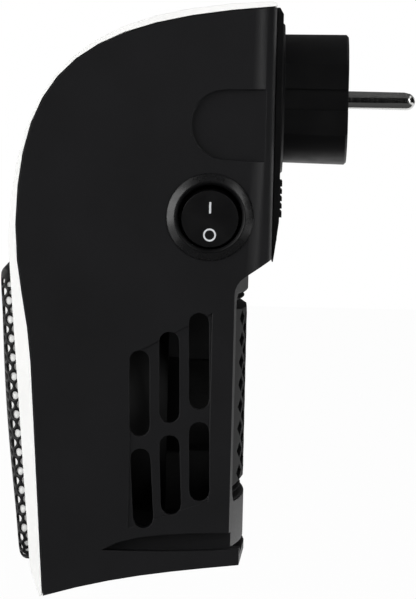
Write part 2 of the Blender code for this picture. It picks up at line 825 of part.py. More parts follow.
def side_recess(name, outline, side, depth):
    """A cutter that sinks an outline into one side wall."""
    inner = HALF_WIDTH - depth
    outer = HALF_WIDTH + OVERRUN
    low, high = (inner, outer) if side > 0 else (-outer, -inner)
    return flat_solid(name, [outline], SIDE, low, high)


def side_rails(depth_low, depth_high, bottom, top):
    """A pair of ribs on each side wall that hold a board or plate between them."""
    rails = []
    for low in (depth_low - GAP - RAIL_THICKNESS, depth_high + GAP):
        corner = (INNER_WALL - RAIL_REACH, low, bottom)
        rails.append((corner, (INNER_WALL + WALL / 2, low + RAIL_THICKNESS, top)))
    return mirrored_boxes(rails)


def board_depths():
    rear = BOX_REAR - BOARD_SETBACK
    return rear - BOARD_THICKNESS, rear


def motor_depths():
    """Front and rear of the motor's can, counted from the inside of the lower back."""
    rear = LOWER_BACK - WALL - REAR_AIR_SPACE - MOTOR_CAP_THICKNESS - GAP
    return rear - MOTOR_LENGTH, rear


def fan_depths():
    rear = motor_depths()[0] - HUB_GAP
    return rear - FAN_DEPTH, rear


def duct_depths():
    """Front and rear of the plate that carries the fan's ring."""
    rear = fan_depths()[0] - HUB_GAP
    return rear - DUCT_PLATE, rear


def heater_depths():
    """Front and rear of the heater: clear of the grille's frame and of the duct's plate."""
    frame_depth = (shell_thickness() + GAP + FRAME_THICKNESS) / math.cos(FRONT_LEAN)
    frame_rear = face_place().y + HEATER_HALF_HEIGHT * math.tan(FRONT_LEAN) + frame_depth
    return frame_rear + HEATER_FRONT_SPACE, duct_depths()[0] - HEATER_SPACE


def ear_depths():
    front, rear = heater_depths()
    middle = (front + rear) / 2
    return middle - HEATER_EAR / 2, middle + HEATER_EAR / 2


def rear_housing(body):
    housing = housing_body()
    cut(housing, housing_hollow())
    for side in (1, -1):
        cut(housing, side_recess(f"slot_field_{side}", slot_pocket(), side, SLOT_POCKET_DEPTH))
        thumb = side_recess(f"thumb_{side}", thumb_outline(), side, THUMB_DEPTH)
        bevel_sharp(thumb, THUMB_SLOPE, 1, math.radians(60))
        cut(housing, thumb)
        cut(housing, side_recess(f"groove_{side}", groove_outline(), side, GROOVE_DEPTH))
    slots = [slot_outline(*place) for place in slot_places()]
    reach = HALF_WIDTH + OVERRUN
    cut(housing, flat_solid("side_slots", slots, SIDE, -reach, reach))
    rear_openings(housing)
    hole_start = (INNER_WALL - OVERRUN, SWITCH_PLACE, SWITCH_HEIGHT)
    hole_end = (HALF_WIDTH + OVERRUN, SWITCH_PLACE, SWITCH_HEIGHT)
    cut(housing, rod("switch_hole", (1, 0, 0), hole_start, hole_end, SWITCH_BODY_RADIUS + GAP, 28))
    fan_bottom = FAN_HEIGHT - HEATER_HALF_HEIGHT
    fan_top = FAN_HEIGHT + HEATER_HALF_HEIGHT
    join(housing, blocks("board_rails", side_rails(*board_depths(), BOARD_BOTTOM, BOARD_TOP)))
    join(housing, blocks("duct_rails", side_rails(*duct_depths(), BASE_HEIGHT - GAP, DUCT_TOP)))
    join(housing, blocks("heater_rails", side_rails(*ear_depths(), fan_bottom, fan_top)))
    for side in (1, -1):
        screw_boss(housing, side)
    return finish_part(housing, "rear_housing", "black_plastic", body)


def rear_openings(housing):
    """Holes in the back: turntable, lock slider, cover screws and air intake."""
    inner = BOX_REAR - WALL - OVERRUN
    outer = BOX_REAR + OVERRUN
    flange_hole = rod("flange_hole", (0, 1, 0), (0, inner, 0), (0, outer, 0), FLANGE_RADIUS + GAP, 28)
    cut(housing, flange_hole)
    half = SLIDER_HALF_WIDTH + SLIDER_FLANGE + GAP
    lowest = SLIDER_TOP - SLIDER_HEIGHT - SLIDER_FLANGE - SLIDER_TRAVEL - GAP
    slider_space = ((-half, inner, lowest), (half, outer, SLIDER_TOP + SLIDER_FLANGE))
    cut(housing, blocks("slider_hole", [slider_space]))
    for i, (across, height) in enumerate(cover_screw_places()):
        start, end = (across, inner, height), (across, outer, height)
        cut(housing, rod(f"screw_hole_{i}", (0, 1, 0), start, end, SCREW_RADIUS + GAP, 8))
    opening = rounded_box(
        -LATTICE_HALF_WIDTH, LATTICE_HALF_WIDTH, LATTICE_BOTTOM, LATTICE_TOP, LATTICE_CORNER
    )
    deepest = LOWER_BACK - CROWN_RISE - WALL - OVERRUN
    cut(housing, flat_solid("intake", [opening], FRONT, deepest, LOWER_BACK + OVERRUN))


def screw_boss(housing, side):
    """A boss behind the back wall for the screw that pulls the front shell on."""
    inner = BOX_REAR - WALL
    place = Vector((side * BOSS_ACROSS, 0, BOSS_HEIGHT))
    end = place + Vector((0, inner - BOSS_LENGTH, 0))
    root = place + Vector((0, inner + WALL / 2, 0))
    join(housing, rod(f"boss_{side}", (0, 1, 0), end, root, BOSS_RADIUS, 14))
    through = place + Vector((0, BOX_REAR + OVERRUN, 0))
    start = end - Vector((0, OVERRUN, 0))
    cut(housing, rod(f"boss_bore_{side}", (0, 1, 0), start, through, SCREW_RADIUS + GAP, 8))
    head = place + Vector((0, BOX_REAR - SCREW_HEAD_HEIGHT - GAP, 0))
    cut(housing, rod(f"boss_head_{side}", (0, 1, 0), head, through, SCREW_HEAD_RADIUS + GAP, 12))


def cover_screw_places():
    heights = (COVER_SCREW_HIGH, COVER_SCREW_LOW)
    return [(side * COVER_SCREW_ACROSS, height) for height in heights for side in (1, -1)]


def shell_curve():
    """Outer side view of the white shell, from its rear end over the brow to its toe."""
    end = (BOX_REAR, BODY_TOP + GAP)
    corner = (BOX_REAR, SHELL_TOP)
    brow = (SHELL_BROW, SHELL_BROW_HEIGHT)
    top_handle = at_slope(corner, SHELL_TOP_HANDLE, math.pi + SHELL_SLOPE)
    brow_handle = (SHELL_BROW, SHELL_BROW_HEIGHT + SHELL_BROW_HANDLE)
    sweep = bezier(corner, top_handle, brow_handle, brow, SWEEP_STEPS)
    rounding = rounded_corner(end, corner, sweep[1], SHELL_END_RADIUS, 2)
    toe_setback = (SHELL_CHEEK_HEIGHT - SHELL_TOE_HEIGHT) * math.tan(FRONT_LEAN)
    toe = (SHELL_FACE_REACH + toe_setback, SHELL_TOE_HEIGHT)
    front, _ = housing_outline()
    last = (front[-1][0] - SHELL_TOE_DEPTH, FOOT_HEIGHT)
    cheek = (SHELL_FACE_REACH, SHELL_CHEEK_HEIGHT)
    return [end] + rounding + sweep[1:] + [cheek, toe, last]


def shell_band():
    """The shell's whole side view: its outer curve and, a gap off the housing, its inner one."""
    front, back = housing_outline()
    amounts = [GAP] * (len(front) - 1) + [0] * (len(back) + 1)
    inner = moved_out(front + back, amounts)[: len(front)]
    return shell_curve() + inner[:0:-1]


def face_place():
    """The middle of the grille, on the shell's leaning face."""
    reach = SHELL_FACE_REACH + (SHELL_CHEEK_HEIGHT - GRILLE_HEIGHT) * math.tan(FRONT_LEAN)
    return Vector((0, reach, GRILLE_HEIGHT))


def face_plane():
    """The leaning plane of the front face, its thickness running out into the room."""
    turn = Matrix.Translation(face_place()) @ Matrix.Rotation(math.pi / 2 + FRONT_LEAN, 4, "X")
    return (turn, 1)


def shell_thickness():
    """How thick the shell is at the housing's chin, its thickest place, square to its face."""
    chin_height = BROW_HEIGHT - CHIN_DROP
    face = SHELL_FACE_REACH + (SHELL_CHEEK_HEIGHT - chin_height) * math.tan(FRONT_LEAN)
    return (BROW + CHIN_SETBACK - face) * math.cos(FRONT_LEAN) - GAP


def grille_box(spare, corner):
    half_width = GRILLE_HALF_WIDTH + spare
    half_height = GRILLE_HALF_HEIGHT + spare
    return rounded_box(-half_width, half_width, -half_height, half_height, corner + spare, 5)


def lens_outline(spare):
    half = LENS_HALF_WIDTH + spare
    return rounded_box(-half, half, LENS_BOTTOM - spare, LENS_TOP + spare, LENS_CORNER, 3)


def key_places():
    return [(i - (KEY_COUNT - 1) / 2) * KEY_SPACING for i in range(KEY_COUNT)]


def display_board_depths():
    front = BROW + DISPLAY_BOARD_SETBACK
    return front, front + DISPLAY_BOARD_THICKNESS


def front_shell(body):
    band = flat_solid("front_shell", [shell_band()], SIDE, -HALF_WIDTH, HALF_WIDTH)
    outer = shell_curve()

    def on_outer_rim(first, second):
        ends = [min(math.dist((end.y, end.z), point) for point in outer) for end in (first, second)]
        return abs(first.x - second.x) < GAP and max(ends) < GAP / 3 and abs(first.x) > INNER_WALL

    round_edges(band, SHELL_EDGE_ROUND, 2, on_outer_rim)
    plane = face_plane()
    deep = shell_thickness() + OVERRUN
    cut(band, flat_solid("grille_window", [grille_box(GAP, GRILLE_CORNER)], plane, -deep, deep))
    cut(band, flat_solid("lens_window", [lens_outline(GAP)], FRONT, 2 * BROW, BROW + DISPLAY_BOARD_SETBACK))
    key_front = 2 * BROW
    for across in key_places():
        start, end = (across, key_front, KEY_HEIGHT), (across, BROW + OVERRUN, KEY_HEIGHT)
        cut(band, rod(f"key_hole_{across}", (0, 1, 0), start, end, KEY_RADIUS + KEY_CLEARANCE, 12))
    join(band, blocks("hooks", hook_boxes()))
    for side in (1, -1):
        shell_posts(band, side)
    return finish_part(band, "front_shell", "white_plastic", body)


def hook_boxes():
    """Tongues at the shell's toe that hook over the housing's floor."""
    front, back = housing_outline()
    foot = front[-1]
    slope = math.tan(FOOT_SLOPE)
    low = foot[1] + WALL + GAP / 2 + HOOK_REACH * slope
    start = foot[0] + (foot[1] - low) * math.tan(HOUSING_LEAN) - GAP * 2
    corner = (HOOK_ACROSS - HOOK_HALF_WIDTH, start, low)
    return mirrored_boxes(
        [(corner, (HOOK_ACROSS + HOOK_HALF_WIDTH, start + HOOK_REACH, low + HOOK_THICKNESS))]
    )


def band_depth(height):
    """Where the housing's front outline lies at a height."""
    front, _ = housing_outline()
    for (depth_a, height_a), (depth_b, height_b) in zip(front, front[1:]):
        if height_b <= height <= height_a:
            share = (height_a - height) / (height_a - height_b)
            return depth_a + (depth_b - depth_a) * share
    return front[-1][0]


def shell_posts(band, side):
    """Posts behind the shell: one for its screw, two for the display board, two stakes for the frame."""
    boss_end = BOX_REAR - WALL - BOSS_LENGTH - BOSS_MEETING_GAP
    root = band_depth(BOSS_HEIGHT - BOSS_RADIUS) - ROOT_OVERLAP
    place = Vector((side * BOSS_ACROSS, 0, BOSS_HEIGHT))
    along = Vector((0, 1, 0))
    post = rod(f"shell_boss_{side}", along, place + along * root, place + along * boss_end, BOSS_RADIUS, 14)
    join(band, keep(post, shell_inside(f"post_inside_{side}")))
    bore_end = boss_end - SHELL_SCREW_LENGTH + BOSS_LENGTH - OVERRUN
    start, end = place + along * bore_end, place + along * (boss_end + OVERRUN)
    cut(band, rod(f"shell_bore_{side}", along, start, end, SCREW_RADIUS + GAP, 8))
    board_front = display_board_depths()[0]
    for row, height in enumerate((POST_HIGH, POST_LOW)):
        place = Vector((side * POST_ACROSS, 0, height))
        root = place + along * (band_depth(height) - ROOT_OVERLAP)
        post_end = place + along * (board_front - GAP)
        peg_end = place + along * (display_board_depths()[1] + STAKE_PROUD)
        name = f"board_post_{side}_{row}"
        join(band, rod(name, along, root, post_end, POST_RADIUS, 10))
        join(band, rod(name + "_peg", along, root + along * OVERRUN, peg_end, STAKE_RADIUS, 8))
    turn = face_plane()[0]
    thickness = shell_thickness()
    stake_end = thickness + GAP + FRAME_THICKNESS + STAKE_PROUD
    for row, height in enumerate((STAKE_ALONG, -STAKE_ALONG)):
        outer_end = turn @ Vector((side * STAKE_ACROSS, height, -thickness / 2))
        inner_end = turn @ Vector((side * STAKE_ACROSS, height, -stake_end))
        axis = (inner_end - outer_end).normalized()
        join(band, rod(f"frame_stake_{side}_{row}", axis, outer_end, inner_end, STAKE_RADIUS, 8))


def shell_inside(name):
    """Everything behind the shell's inner face, a little overlapping the shell."""
    front, back = housing_outline()
    amounts = [GAP * 2] * (len(front) - 1) + [0] * (len(back) + 1)
    outline = moved_out(front + back, amounts)
    return flat_solid(name, [outline], SIDE, -HALF_WIDTH, HALF_WIDTH)


def display_lens(body):
    band = flat_solid("display_lens", [shell_band()], SIDE, -HALF_WIDTH, HALF_WIDTH)
    keep(band, flat_solid("lens_block", [lens_outline(0)], FRONT, 2 * BROW, BROW + DISPLAY_BOARD_SETBACK))
    return finish_part(band, "display_lens", "smoked_lens", body)


def display_module(body):
    front = display_board_depths()[0]
    middle = (LENS_TOP + LENS_BOTTOM) / 2
    low = (-MODULE_HALF_WIDTH, front - GAP - MODULE_DEPTH, middle - MODULE_HALF_HEIGHT)
    high = (MODULE_HALF_WIDTH, front - GAP, middle + MODULE_HALF_HEIGHT)
    return finish_part(blocks("display_module", [(low, high)]), "display_module", "grey_plastic", body)


def display_board(body):
    front, rear = display_board_depths()
    half = DISPLAY_BOARD_HALF_WIDTH
    outline = rounded_box(-half, half, DISPLAY_BOARD_BOTTOM, DISPLAY_BOARD_TOP, POST_RADIUS, 2)
    holes = [
        circle((side * POST_ACROSS, height), STAKE_RADIUS + GAP, 8)
        for side in (1, -1)
        for height in (POST_HIGH, POST_LOW)
    ]
    board = flat_solid("display_board", [outline] + holes, FRONT, front, rear)
    return finish_part(board, "display_board", "green_board", body)


def tact_switch(name, across, body):
    front = display_board_depths()[0]
    half = TACT_HALF_WIDTH
    low = (across - half, front - GAP - TACT_HEIGHT, KEY_HEIGHT - half)
    high = (across + half, front - GAP, KEY_HEIGHT + half)
    return finish_part(blocks(name, [(low, high)]), name, "grey_plastic", body)


def key_cap(name, across, body):
    """A round key, flush with the shell, with a flange behind it that keeps it in."""
    outer = SHELL_BROW - KEY_PROUD
    inner = band_depth(KEY_HEIGHT + KEY_RADIUS + KEY_FLANGE) + KEY_REST_GAP
    stem_end = display_board_depths()[0] - GAP - TACT_HEIGHT - KEY_TRAVEL - GAP
    profile = [
        (0, 0),
        (KEY_RADIUS / 2, 0),
        (KEY_RADIUS / 2, inner + KEY_FLANGE_THICKNESS - stem_end),
        (KEY_RADIUS + KEY_FLANGE, inner + KEY_FLANGE_THICKNESS - stem_end),
        (KEY_RADIUS + KEY_FLANGE, inner - stem_end),
        (KEY_RADIUS, inner - stem_end),
        (KEY_RADIUS, outer + KEY_PROUD - stem_end),
        (KEY_RADIUS - KEY_PROUD, outer - stem_end),
        (0, outer - stem_end),
    ]
    cap = turned(name, profile, (0, 1, 0), (across, stem_end, KEY_HEIGHT), 12)
    return finish_part(cap, name, "white_plastic", body)


def blank_spoke(point):
    """The nearest point of the grille's straight core, and the way out from it."""
    corner = GRILLE_CORNER - GRILLE_BEND
    width = GRILLE_HALF_WIDTH - GRILLE_BEND - corner
    height = GRILLE_HALF_HEIGHT - GRILLE_BEND - corner
    nearest = Vector((max(-width, min(width, point.x)), max(-height, min(height, point.y))))
    return nearest, Vector((point.x, point.y)) - nearest, corner


def formed(point):
    """Where a point of the grille's flat blank lies once the sheet is drawn over its form."""
    nearest, spoke, corner = blank_spoke(point)
    beyond = max(0, spoke.length - corner)
    outwards = spoke.normalized() if spoke.length else spoke
    bend_length = GRILLE_BEND * math.pi / 2
    angle = min(beyond, bend_length) / GRILLE_BEND
    drop = GRILLE_BEND * (1 - math.cos(angle)) + max(0, beyond - bend_length)
    place = nearest + outwards * (min(spoke.length, corner) + GRILLE_BEND * math.sin(angle))
    across, along = place.x / GRILLE_HALF_WIDTH, place.y / GRILLE_HALF_HEIGHT
    dome = GRILLE_DOME * max(0, 1 - across**2) * max(0, 1 - along**2)
    return Vector((place.x, place.y, GRILLE_PROUD - drop + dome))


def grille_holes():
    """Hexagonal holes in staggered rows over the flat of the grille."""
    half_width = GRILLE_HALF_WIDTH - GRILLE_BEND
    half_height = GRILLE_HALF_HEIGHT - GRILLE_BEND
    row_step = GRILLE_PITCH * math.sin(math.pi / 3)
    rows = int(half_height / row_step)
    columns = int(half_width / GRILLE_PITCH) + 1
    holes = []
    for row in range(-rows, rows + 1):
        shift = GRILLE_PITCH / 2 * (row % 2)
        for column in range(-columns, columns + 1):
            centre = Vector((column * GRILLE_PITCH + shift, row * row_step))
            if fits_core(centre, half_width, half_height):
                holes.append(circle(centre, GRILLE_HOLE / 2, 6))
    return holes


def fits_core(centre, half_width, half_height):
    across = abs(centre.x) - (half_width - GRILLE_CORNER)
    along = abs(centre.y) - (half_height - GRILLE_CORNER)
    distance = math.hypot(max(across, 0), max(along, 0))
    return distance + GRILLE_HOLE / 2 < GRILLE_CORNER - GRILLE_SHEET / 2


def gap_across(start, end):
    return abs(end[0] - start[0])


def divided(outline, spacing, distance=math.dist):
    """The outline with points added so that none lie further apart than a spacing."""
    points = []
    for i, start in enumerate(outline):
        end = outline[(i + 1) % len(outline)]
        count = max(1, math.ceil(distance(start, end) / spacing))
        for step in range(count):
            share = step / count
            points.append((start[0] + (end[0] - start[0]) * share, start[1] + (end[1] - start[1]) * share))
    return points


def fold_rim(work):
    """Grow the flat of the grille outwards by the strips that make its bend and its wall."""
    bend_length = GRILLE_BEND * math.pi / 2
    full = bend_length + GRILLE_PROUD - GRILLE_BEND + shell_thickness()
    edges = []
    for edge in work.edges:
        spokes = [blank_spoke(vertex.co) for vertex in edge.verts]
        if edge.is_boundary and all(spoke.length > corner - GAP for _, spoke, corner in spokes):
            edges.append(edge)
    for beyond in (bend_length / 3, bend_length * 2 / 3, bend_length, full):
        grown = bmesh.ops.extrude_edge_only(work, edges=edges)["geom"]
        edges = [part for part in grown if isinstance(part, bmesh.types.BMEdge)]
        for vertex in (part for part in grown if isinstance(part, bmesh.types.BMVert)):
            nearest, spoke, corner = blank_spoke(vertex.co)
            place = nearest + spoke.normalized() * (corner + beyond)
            vertex.co = (place.x, place.y, 0)


def wall_holes():
    """Rods across the grille that open a row of round holes in each of its side walls."""
    work = bmesh.new()
    rows = int((GRILLE_HALF_HEIGHT - GRILLE_CORNER) / GRILLE_PITCH)
    turn = Matrix.Rotation(math.pi / 2, 4, "Y")
    for row in range(-rows, rows + 1):
        place = Matrix.Translation((0, row * GRILLE_PITCH, GRILLE_WALL_HOLE_RISE)) @ turn
        bmesh.ops.create_cone(
            work,
            cap_ends=True,
            segments=6,
            radius1=GRILLE_WALL_HOLE / 2,
            radius2=GRILLE_WALL_HOLE / 2,
            depth=2 * GRILLE_HALF_WIDTH + OVERRUN,
            matrix=place,
        )
    mesh = bpy.data.meshes.new("wall_holes")
    work.to_mesh(mesh)
    work.free()
    rods = new_object("wall_holes", mesh)
    rods.matrix_world = face_plane()[0]
    return rods


def front_grille(body):
    """The perforated sheet: a flat blank with its holes, drawn over its form."""
    rim = divided(grille_box(-GRILLE_BEND, GRILLE_CORNER), 2 * GRILLE_PITCH)
    sheet = flat_solid("front_grille", [rim] + grille_holes(), PLAN, -GRILLE_SHEET / 2, GRILLE_SHEET / 2)
    work = bmesh.new()
    work.from_mesh(sheet.data)
    low_side = [face for face in work.faces if face.normal.z < 0.5]
    bmesh.ops.delete(work, geom=low_side, context="FACES")
    fold_rim(work)
    for vertex in work.verts:
        vertex.co = formed(vertex.co)
    bmesh.ops.recalc_face_normals(work, faces=work.faces)
    work.to_mesh(sheet.data)
    work.free()
    sheet.matrix_world = face_plane()[0]
    thickness = sheet.modifiers.new("sheet", "SOLIDIFY")
    thickness.thickness = GRILLE_SHEET
    thickness.offset = -1
    cut(sheet, wall_holes())
    return finish_part(sheet, "front_grille", "black_mesh", body)


def grille_frame(body):
    """The white frame staked behind the shell, with a collar that backs the grille's wall."""
    thickness = shell_thickness()
    half_width = GRILLE_HALF_WIDTH + FRAME_OUTER_LIP
    half_height = GRILLE_HALF_HEIGHT + FRAME_END_LIP
    outer = rounded_box(-half_width, half_width, -half_height, half_height, GRILLE_CORNER, 5)
    inner = grille_box(-FRAME_INNER_LIP, GRILLE_CORNER)
    holes = [
        circle((side * STAKE_ACROSS, height), STAKE_RADIUS + GAP, 8)
        for side in (1, -1)
        for height in (STAKE_ALONG, -STAKE_ALONG)
    ]
    front = -thickness - GAP
    frame = flat_solid("grille_frame", [outer, inner] + holes, face_plane(), front - FRAME_THICKNESS, front)
    collar_outer = grille_box(-GRILLE_SHEET - GAP, GRILLE_CORNER)
    collar_inner = grille_box(GAP - FRAME_INNER_LIP, GRILLE_CORNER)
    crest_outer = grille_box(GAP - GRILLE_BEND, GRILLE_CORNER)
    low = front - ROOT_OVERLAP
    wall_top = GRILLE_PROUD - GRILLE_BEND
    collar_top = wall_top + FRAME_COLLAR_RISE
    crest_top = wall_top + FRAME_CREST_RISE
    crest_inner = grille_box(GAP * 2 - FRAME_INNER_LIP, GRILLE_CORNER)
    join(frame, flat_solid("frame_collar", [collar_outer, collar_inner], face_plane(), low, collar_top))
    join(frame, flat_solid("frame_crest", [crest_outer, crest_inner], face_plane(), 0, crest_top))
    return finish_part(frame, "grille_frame", "white_plastic", body)


def crown_drop(across):
    """How far the crowned back falls away from its middle line."""
    return math.sqrt(CROWN_RADIUS**2 - across**2) - CROWN_RADIUS


def bend_to_back(thing):
    """Bend a flat piece, drawn in the front plane, to the crown of the lower back."""
    bpy.context.view_layer.update()
    to_world = thing.matrix_world.copy()
    for vertex in thing.data.vertices:
        place = to_world @ vertex.co
        place.y += crown_drop(place.x)
        vertex.co = to_world.inverted() @ place
    return thing


def lattice_box(spare, corner):
    half = LATTICE_HALF_WIDTH + spare
    outline = rounded_box(-half, half, LATTICE_BOTTOM - spare, LATTICE_TOP + spare, corner, 3)
    return divided(outline, LATTICE_DIAMOND_WIDTH / 2, gap_across)


def lattice_diamonds():
    """Diamond holes between crossing ribs, in staggered rows."""
    half_width = LATTICE_HALF_WIDTH - GAP - LATTICE_BORDER
    middle = (LATTICE_TOP + LATTICE_BOTTOM) / 2
    half_height = (LATTICE_TOP - LATTICE_BOTTOM) / 2 - GAP - LATTICE_BORDER
    step_across = LATTICE_DIAMOND_WIDTH / 2
    step_up = LATTICE_DIAMOND_HEIGHT / 2
    slope = math.atan2(step_up, step_across)
    reach_across = step_across - LATTICE_RIB / 2 / math.sin(slope)
    reach_up = step_up - LATTICE_RIB / 2 / math.cos(slope)
    columns = int(half_width / step_across)
    rows = int(half_height / step_up)
    diamonds = []
    for row in range(-rows, rows + 1):
        for column in range(-columns, columns + 1):
            if (row + column) % 2:
                continue
            across, up = column * step_across, row * step_up
            inside = abs(across) + reach_across < half_width and abs(up) + reach_up < half_height
            if inside:
                height = middle + up
                diamonds.append(
                    [
                        (across - reach_across, height),
                        (across, height - reach_up),
                        (across + reach_across, height),
                        (across, height + reach_up),
                    ]
                )
    return diamonds


def rear_grille(body):
    """Intake lattice: a crowned plate of crossing ribs with a rim and a flange behind the wall."""
    outer = lattice_box(-GAP, LATTICE_CORNER)
    face = LOWER_BACK - LATTICE_RECESS
    plate = flat_solid("rear_grille", [outer] + lattice_diamonds(), FRONT, face - LATTICE_THICKNESS, face)
    rim_box = lattice_box(-GAP - LATTICE_BORDER / 4, LATTICE_CORNER)
    inner = lattice_box(-GAP - LATTICE_BORDER * 3 / 4, LATTICE_CORNER / 2)
    flange_hole = lattice_box(-GAP - LATTICE_BORDER / 2, LATTICE_CORNER / 2)
    flange_front = LOWER_BACK - WALL - GAP
    flange_rear = flange_front - LATTICE_FLANGE_THICKNESS
    rim_start = face - LATTICE_RIM_START
    rim = flat_solid("lattice_rim", [rim_box, inner], FRONT, flange_rear + GAP, rim_start)
    flange_box = lattice_box(LATTICE_FLANGE, LATTICE_CORNER)
    flange = flat_solid("lattice_flange", [flange_box, flange_hole], FRONT, flange_rear, flange_front)
    bend_to_back(plate)
    join(plate, bend_to_back(rim))
    join(plate, bend_to_back(flange))
    return finish_part(plate, "rear_grille", "black_plastic", body)


def rear_cover(body):
    """The plate on the back of the upper box that keeps the turntable in."""
    inner = BOX_REAR + GAP
    outline = [
        (inner, COVER_BOTTOM),
        (COVER_FACE - COVER_TAPER, COVER_BOTTOM),
        (COVER_FACE, COVER_BOTTOM + COVER_TAPER_HEIGHT),
        (COVER_FACE, BODY_TOP - COVER_TOP_CHAMFER),
        (COVER_FACE - COVER_STANDS / 2, BODY_TOP),
        (inner, BODY_TOP),
    ]
    half = COVER_HALF_WIDTH
    cover = flat_solid("rear_cover", [outline], SIDE, -half - OVERRUN, half + OVERRUN)
    face = rounded_box(-half, half, COVER_BOTTOM - GAP, BODY_TOP + GAP, COVER_CORNER)
    keep(cover, flat_solid("cover_face", [face], FRONT, BOX_REAR, 0))
    through = BOX_REAR - OVERRUN, COVER_FACE + OVERRUN
    start, end = (0, through[0], 0), (0, through[1], 0)
    cut(cover, rod("turntable_hole", (0, 1, 0), start, end, TURNTABLE_RADIUS + TURNTABLE_CLEARANCE, 36))
    slot = SLIDER_HALF_WIDTH + GAP
    lowest = SLIDER_TOP - SLIDER_HEIGHT - SLIDER_TRAVEL - GAP
    slot_space = ((-slot, through[0], lowest), (slot, through[1], SLIDER_TOP + GAP))
    cut(cover, blocks("slider_slot", [slot_space]))
    for i, (across, height) in enumerate(cover_screw_places()):
        start, end = (across, through[0], height), (across, through[1], height)
        cut(cover, rod(f"cover_hole_{i}", (0, 1, 0), start, end, SCREW_RADIUS + GAP, 8))
        seat = (across, screw_seat(height), height)
        cut(cover, rod(f"cover_sink_{i}", (0, 1, 0), seat, end, SCREW_HEAD_RADIUS + GAP, 12))
    return finish_part(cover, "rear_cover", "black_plastic", body)


def screw_seat(height):
    """Depth of the seat under a cover screw's head."""
    fall = max(0, COVER_BOTTOM + COVER_TAPER_HEIGHT - height) / COVER_TAPER_HEIGHT
    return COVER_FACE - COVER_TAPER * fall - SCREW_HEAD_HEIGHT - GAP


def screw(name, place, length, body):
    """A self-tapping screw with a slotted pan head, its axis along the plug's pins."""
    profile = [
        (0, SCREW_HEAD_HEIGHT),
        (SCREW_HEAD_RADIUS * SCREW_CROWN_SHARE, SCREW_HEAD_HEIGHT),
        (SCREW_HEAD_RADIUS, SCREW_HEAD_HEIGHT / 3),
        (SCREW_HEAD_RADIUS, 0),
        (SCREW_RADIUS, 0),
        (SCREW_RADIUS, SCREW_RADIUS - length),
        (0, -length),
    ]
    made = turned(name, profile, (0, 1, 0), place, 10)
    half = SCREW_SLOT_WIDTH / 2
    floor = place[1] + SCREW_HEAD_HEIGHT - SCREW_SLOT_DEPTH
    low = (place[0] - half, floor, place[2] - SCREW_HEAD_RADIUS)
    high = (place[0] + half, place[1] + SCREW_HEAD_HEIGHT + OVERRUN, place[2] + SCREW_HEAD_RADIUS)
    cut(made, blocks(name + "_slot", [(low, high)]))
    return finish_part(made, name, "steel", body)


def cover_screws(body):
    for i, (across, height) in enumerate(cover_screw_places()):
        seat = screw_seat(height) + GAP
        length = seat - (RETAINER_FRONT - RETAINER_THICKNESS)
        screw(f"cover_screw_{i + 1}", (across, seat, height), length, body)


def shell_screws(body):
    for name, side in (("shell_screw_right", 1), ("shell_screw_left", -1)):
        place = (side * BOSS_ACROSS, BOX_REAR - SCREW_HEAD_HEIGHT, BOSS_HEIGHT)
        screw(name, place, SHELL_SCREW_LENGTH, body)


def swivel_retainer(body):
    """The plate inside the box that the turntable's flange runs against."""
    half = RETAINER_HALF_WIDTH
    outline = rounded_box(-half, half, RETAINER_BOTTOM, RETAINER_TOP, RETAINER_CORNER)
    holes = [circle((0, 0), WIRE_HOLE_RADIUS, 28)]
    holes += [circle(place, SCREW_RADIUS + GAP, 8) for place in cover_screw_places()]
    rear = RETAINER_FRONT
    plate = flat_solid("swivel_retainer", [outline] + holes, FRONT, rear - RETAINER_THICKNESS, rear)
    return finish_part(plate, "swivel_retainer", "grey_plastic", body)


def insert_outline(spare):
    half_height = INSERT_HALF_HEIGHT + spare
    half_length = INSERT_HALF_LENGTH + spare
    return rounded_box(
        -half_length, half_length, -half_height, half_height, half_height - ROUND_END_FLAT, 4
    )


def swivel_plug_body(body):
    """Turntable and plug in one moulding, hollow along its middle for the pins."""
    face_radius = PLUG_RADIUS + PLUG_FACE_FLARE
    flange_rear = BOX_REAR - WALL
    profile = [
        (0, 0),
        (face_radius - PLUG_FACE_CHAMFER, 0),
        (face_radius, -PLUG_FACE_CHAMFER),
        (PLUG_RADIUS, -PLUG_LENGTH),
        (TURNTABLE_RADIUS - PLUG_FACE_CHAMFER, -PLUG_LENGTH),
        (TURNTABLE_RADIUS, -PLUG_LENGTH - PLUG_FACE_CHAMFER),
        (TURNTABLE_RADIUS, BOX_REAR),
        (FLANGE_RADIUS, BOX_REAR),
        (FLANGE_RADIUS, flange_rear),
        (0, flange_rear),
    ]
    plug = turned("swivel_plug_body", profile, (0, 1, 0), (0, 0, 0), 36)
    flat = math.sqrt(PLUG_RADIUS**2 - PLUG_FLAT_HALF_HEIGHT**2)
    far = TURNTABLE_RADIUS + OVERRUN
    flats = [((flat, -PLUG_LENGTH, -PLUG_RADIUS), (far, OVERRUN, PLUG_RADIUS))]
    guides = [((flat - GUIDE_DEPTH, -PLUG_LENGTH, -GUIDE_HALF_HEIGHT), (far, OVERRUN, GUIDE_HALF_HEIGHT))]
    cut(plug, blocks("plug_flats", mirrored_boxes(flats)))
    cut(plug, blocks("plug_guides", mirrored_boxes(guides)))
    cut(plug, flat_solid("pin_space", [insert_outline(GAP)], FRONT, 2 * BOX_REAR, OVERRUN))
    return finish_part(plug, "swivel_plug_body", "black_plastic", body)


def plug_face_insert(body):
    """The insulating insert that holds the two pins in the plug's face."""
    radius = PIN_DIAMETER / 2 + GAP
    holes = [circle((side * PIN_SPACING / 2, 0), radius, 16) for side in (1, -1)]
    insert = flat_solid("plug_face_insert", [insert_outline(0)] + holes, FRONT, -INSERT_DEPTH, 0)
    return finish_part(insert, "plug_face_insert", "black_plastic", body)


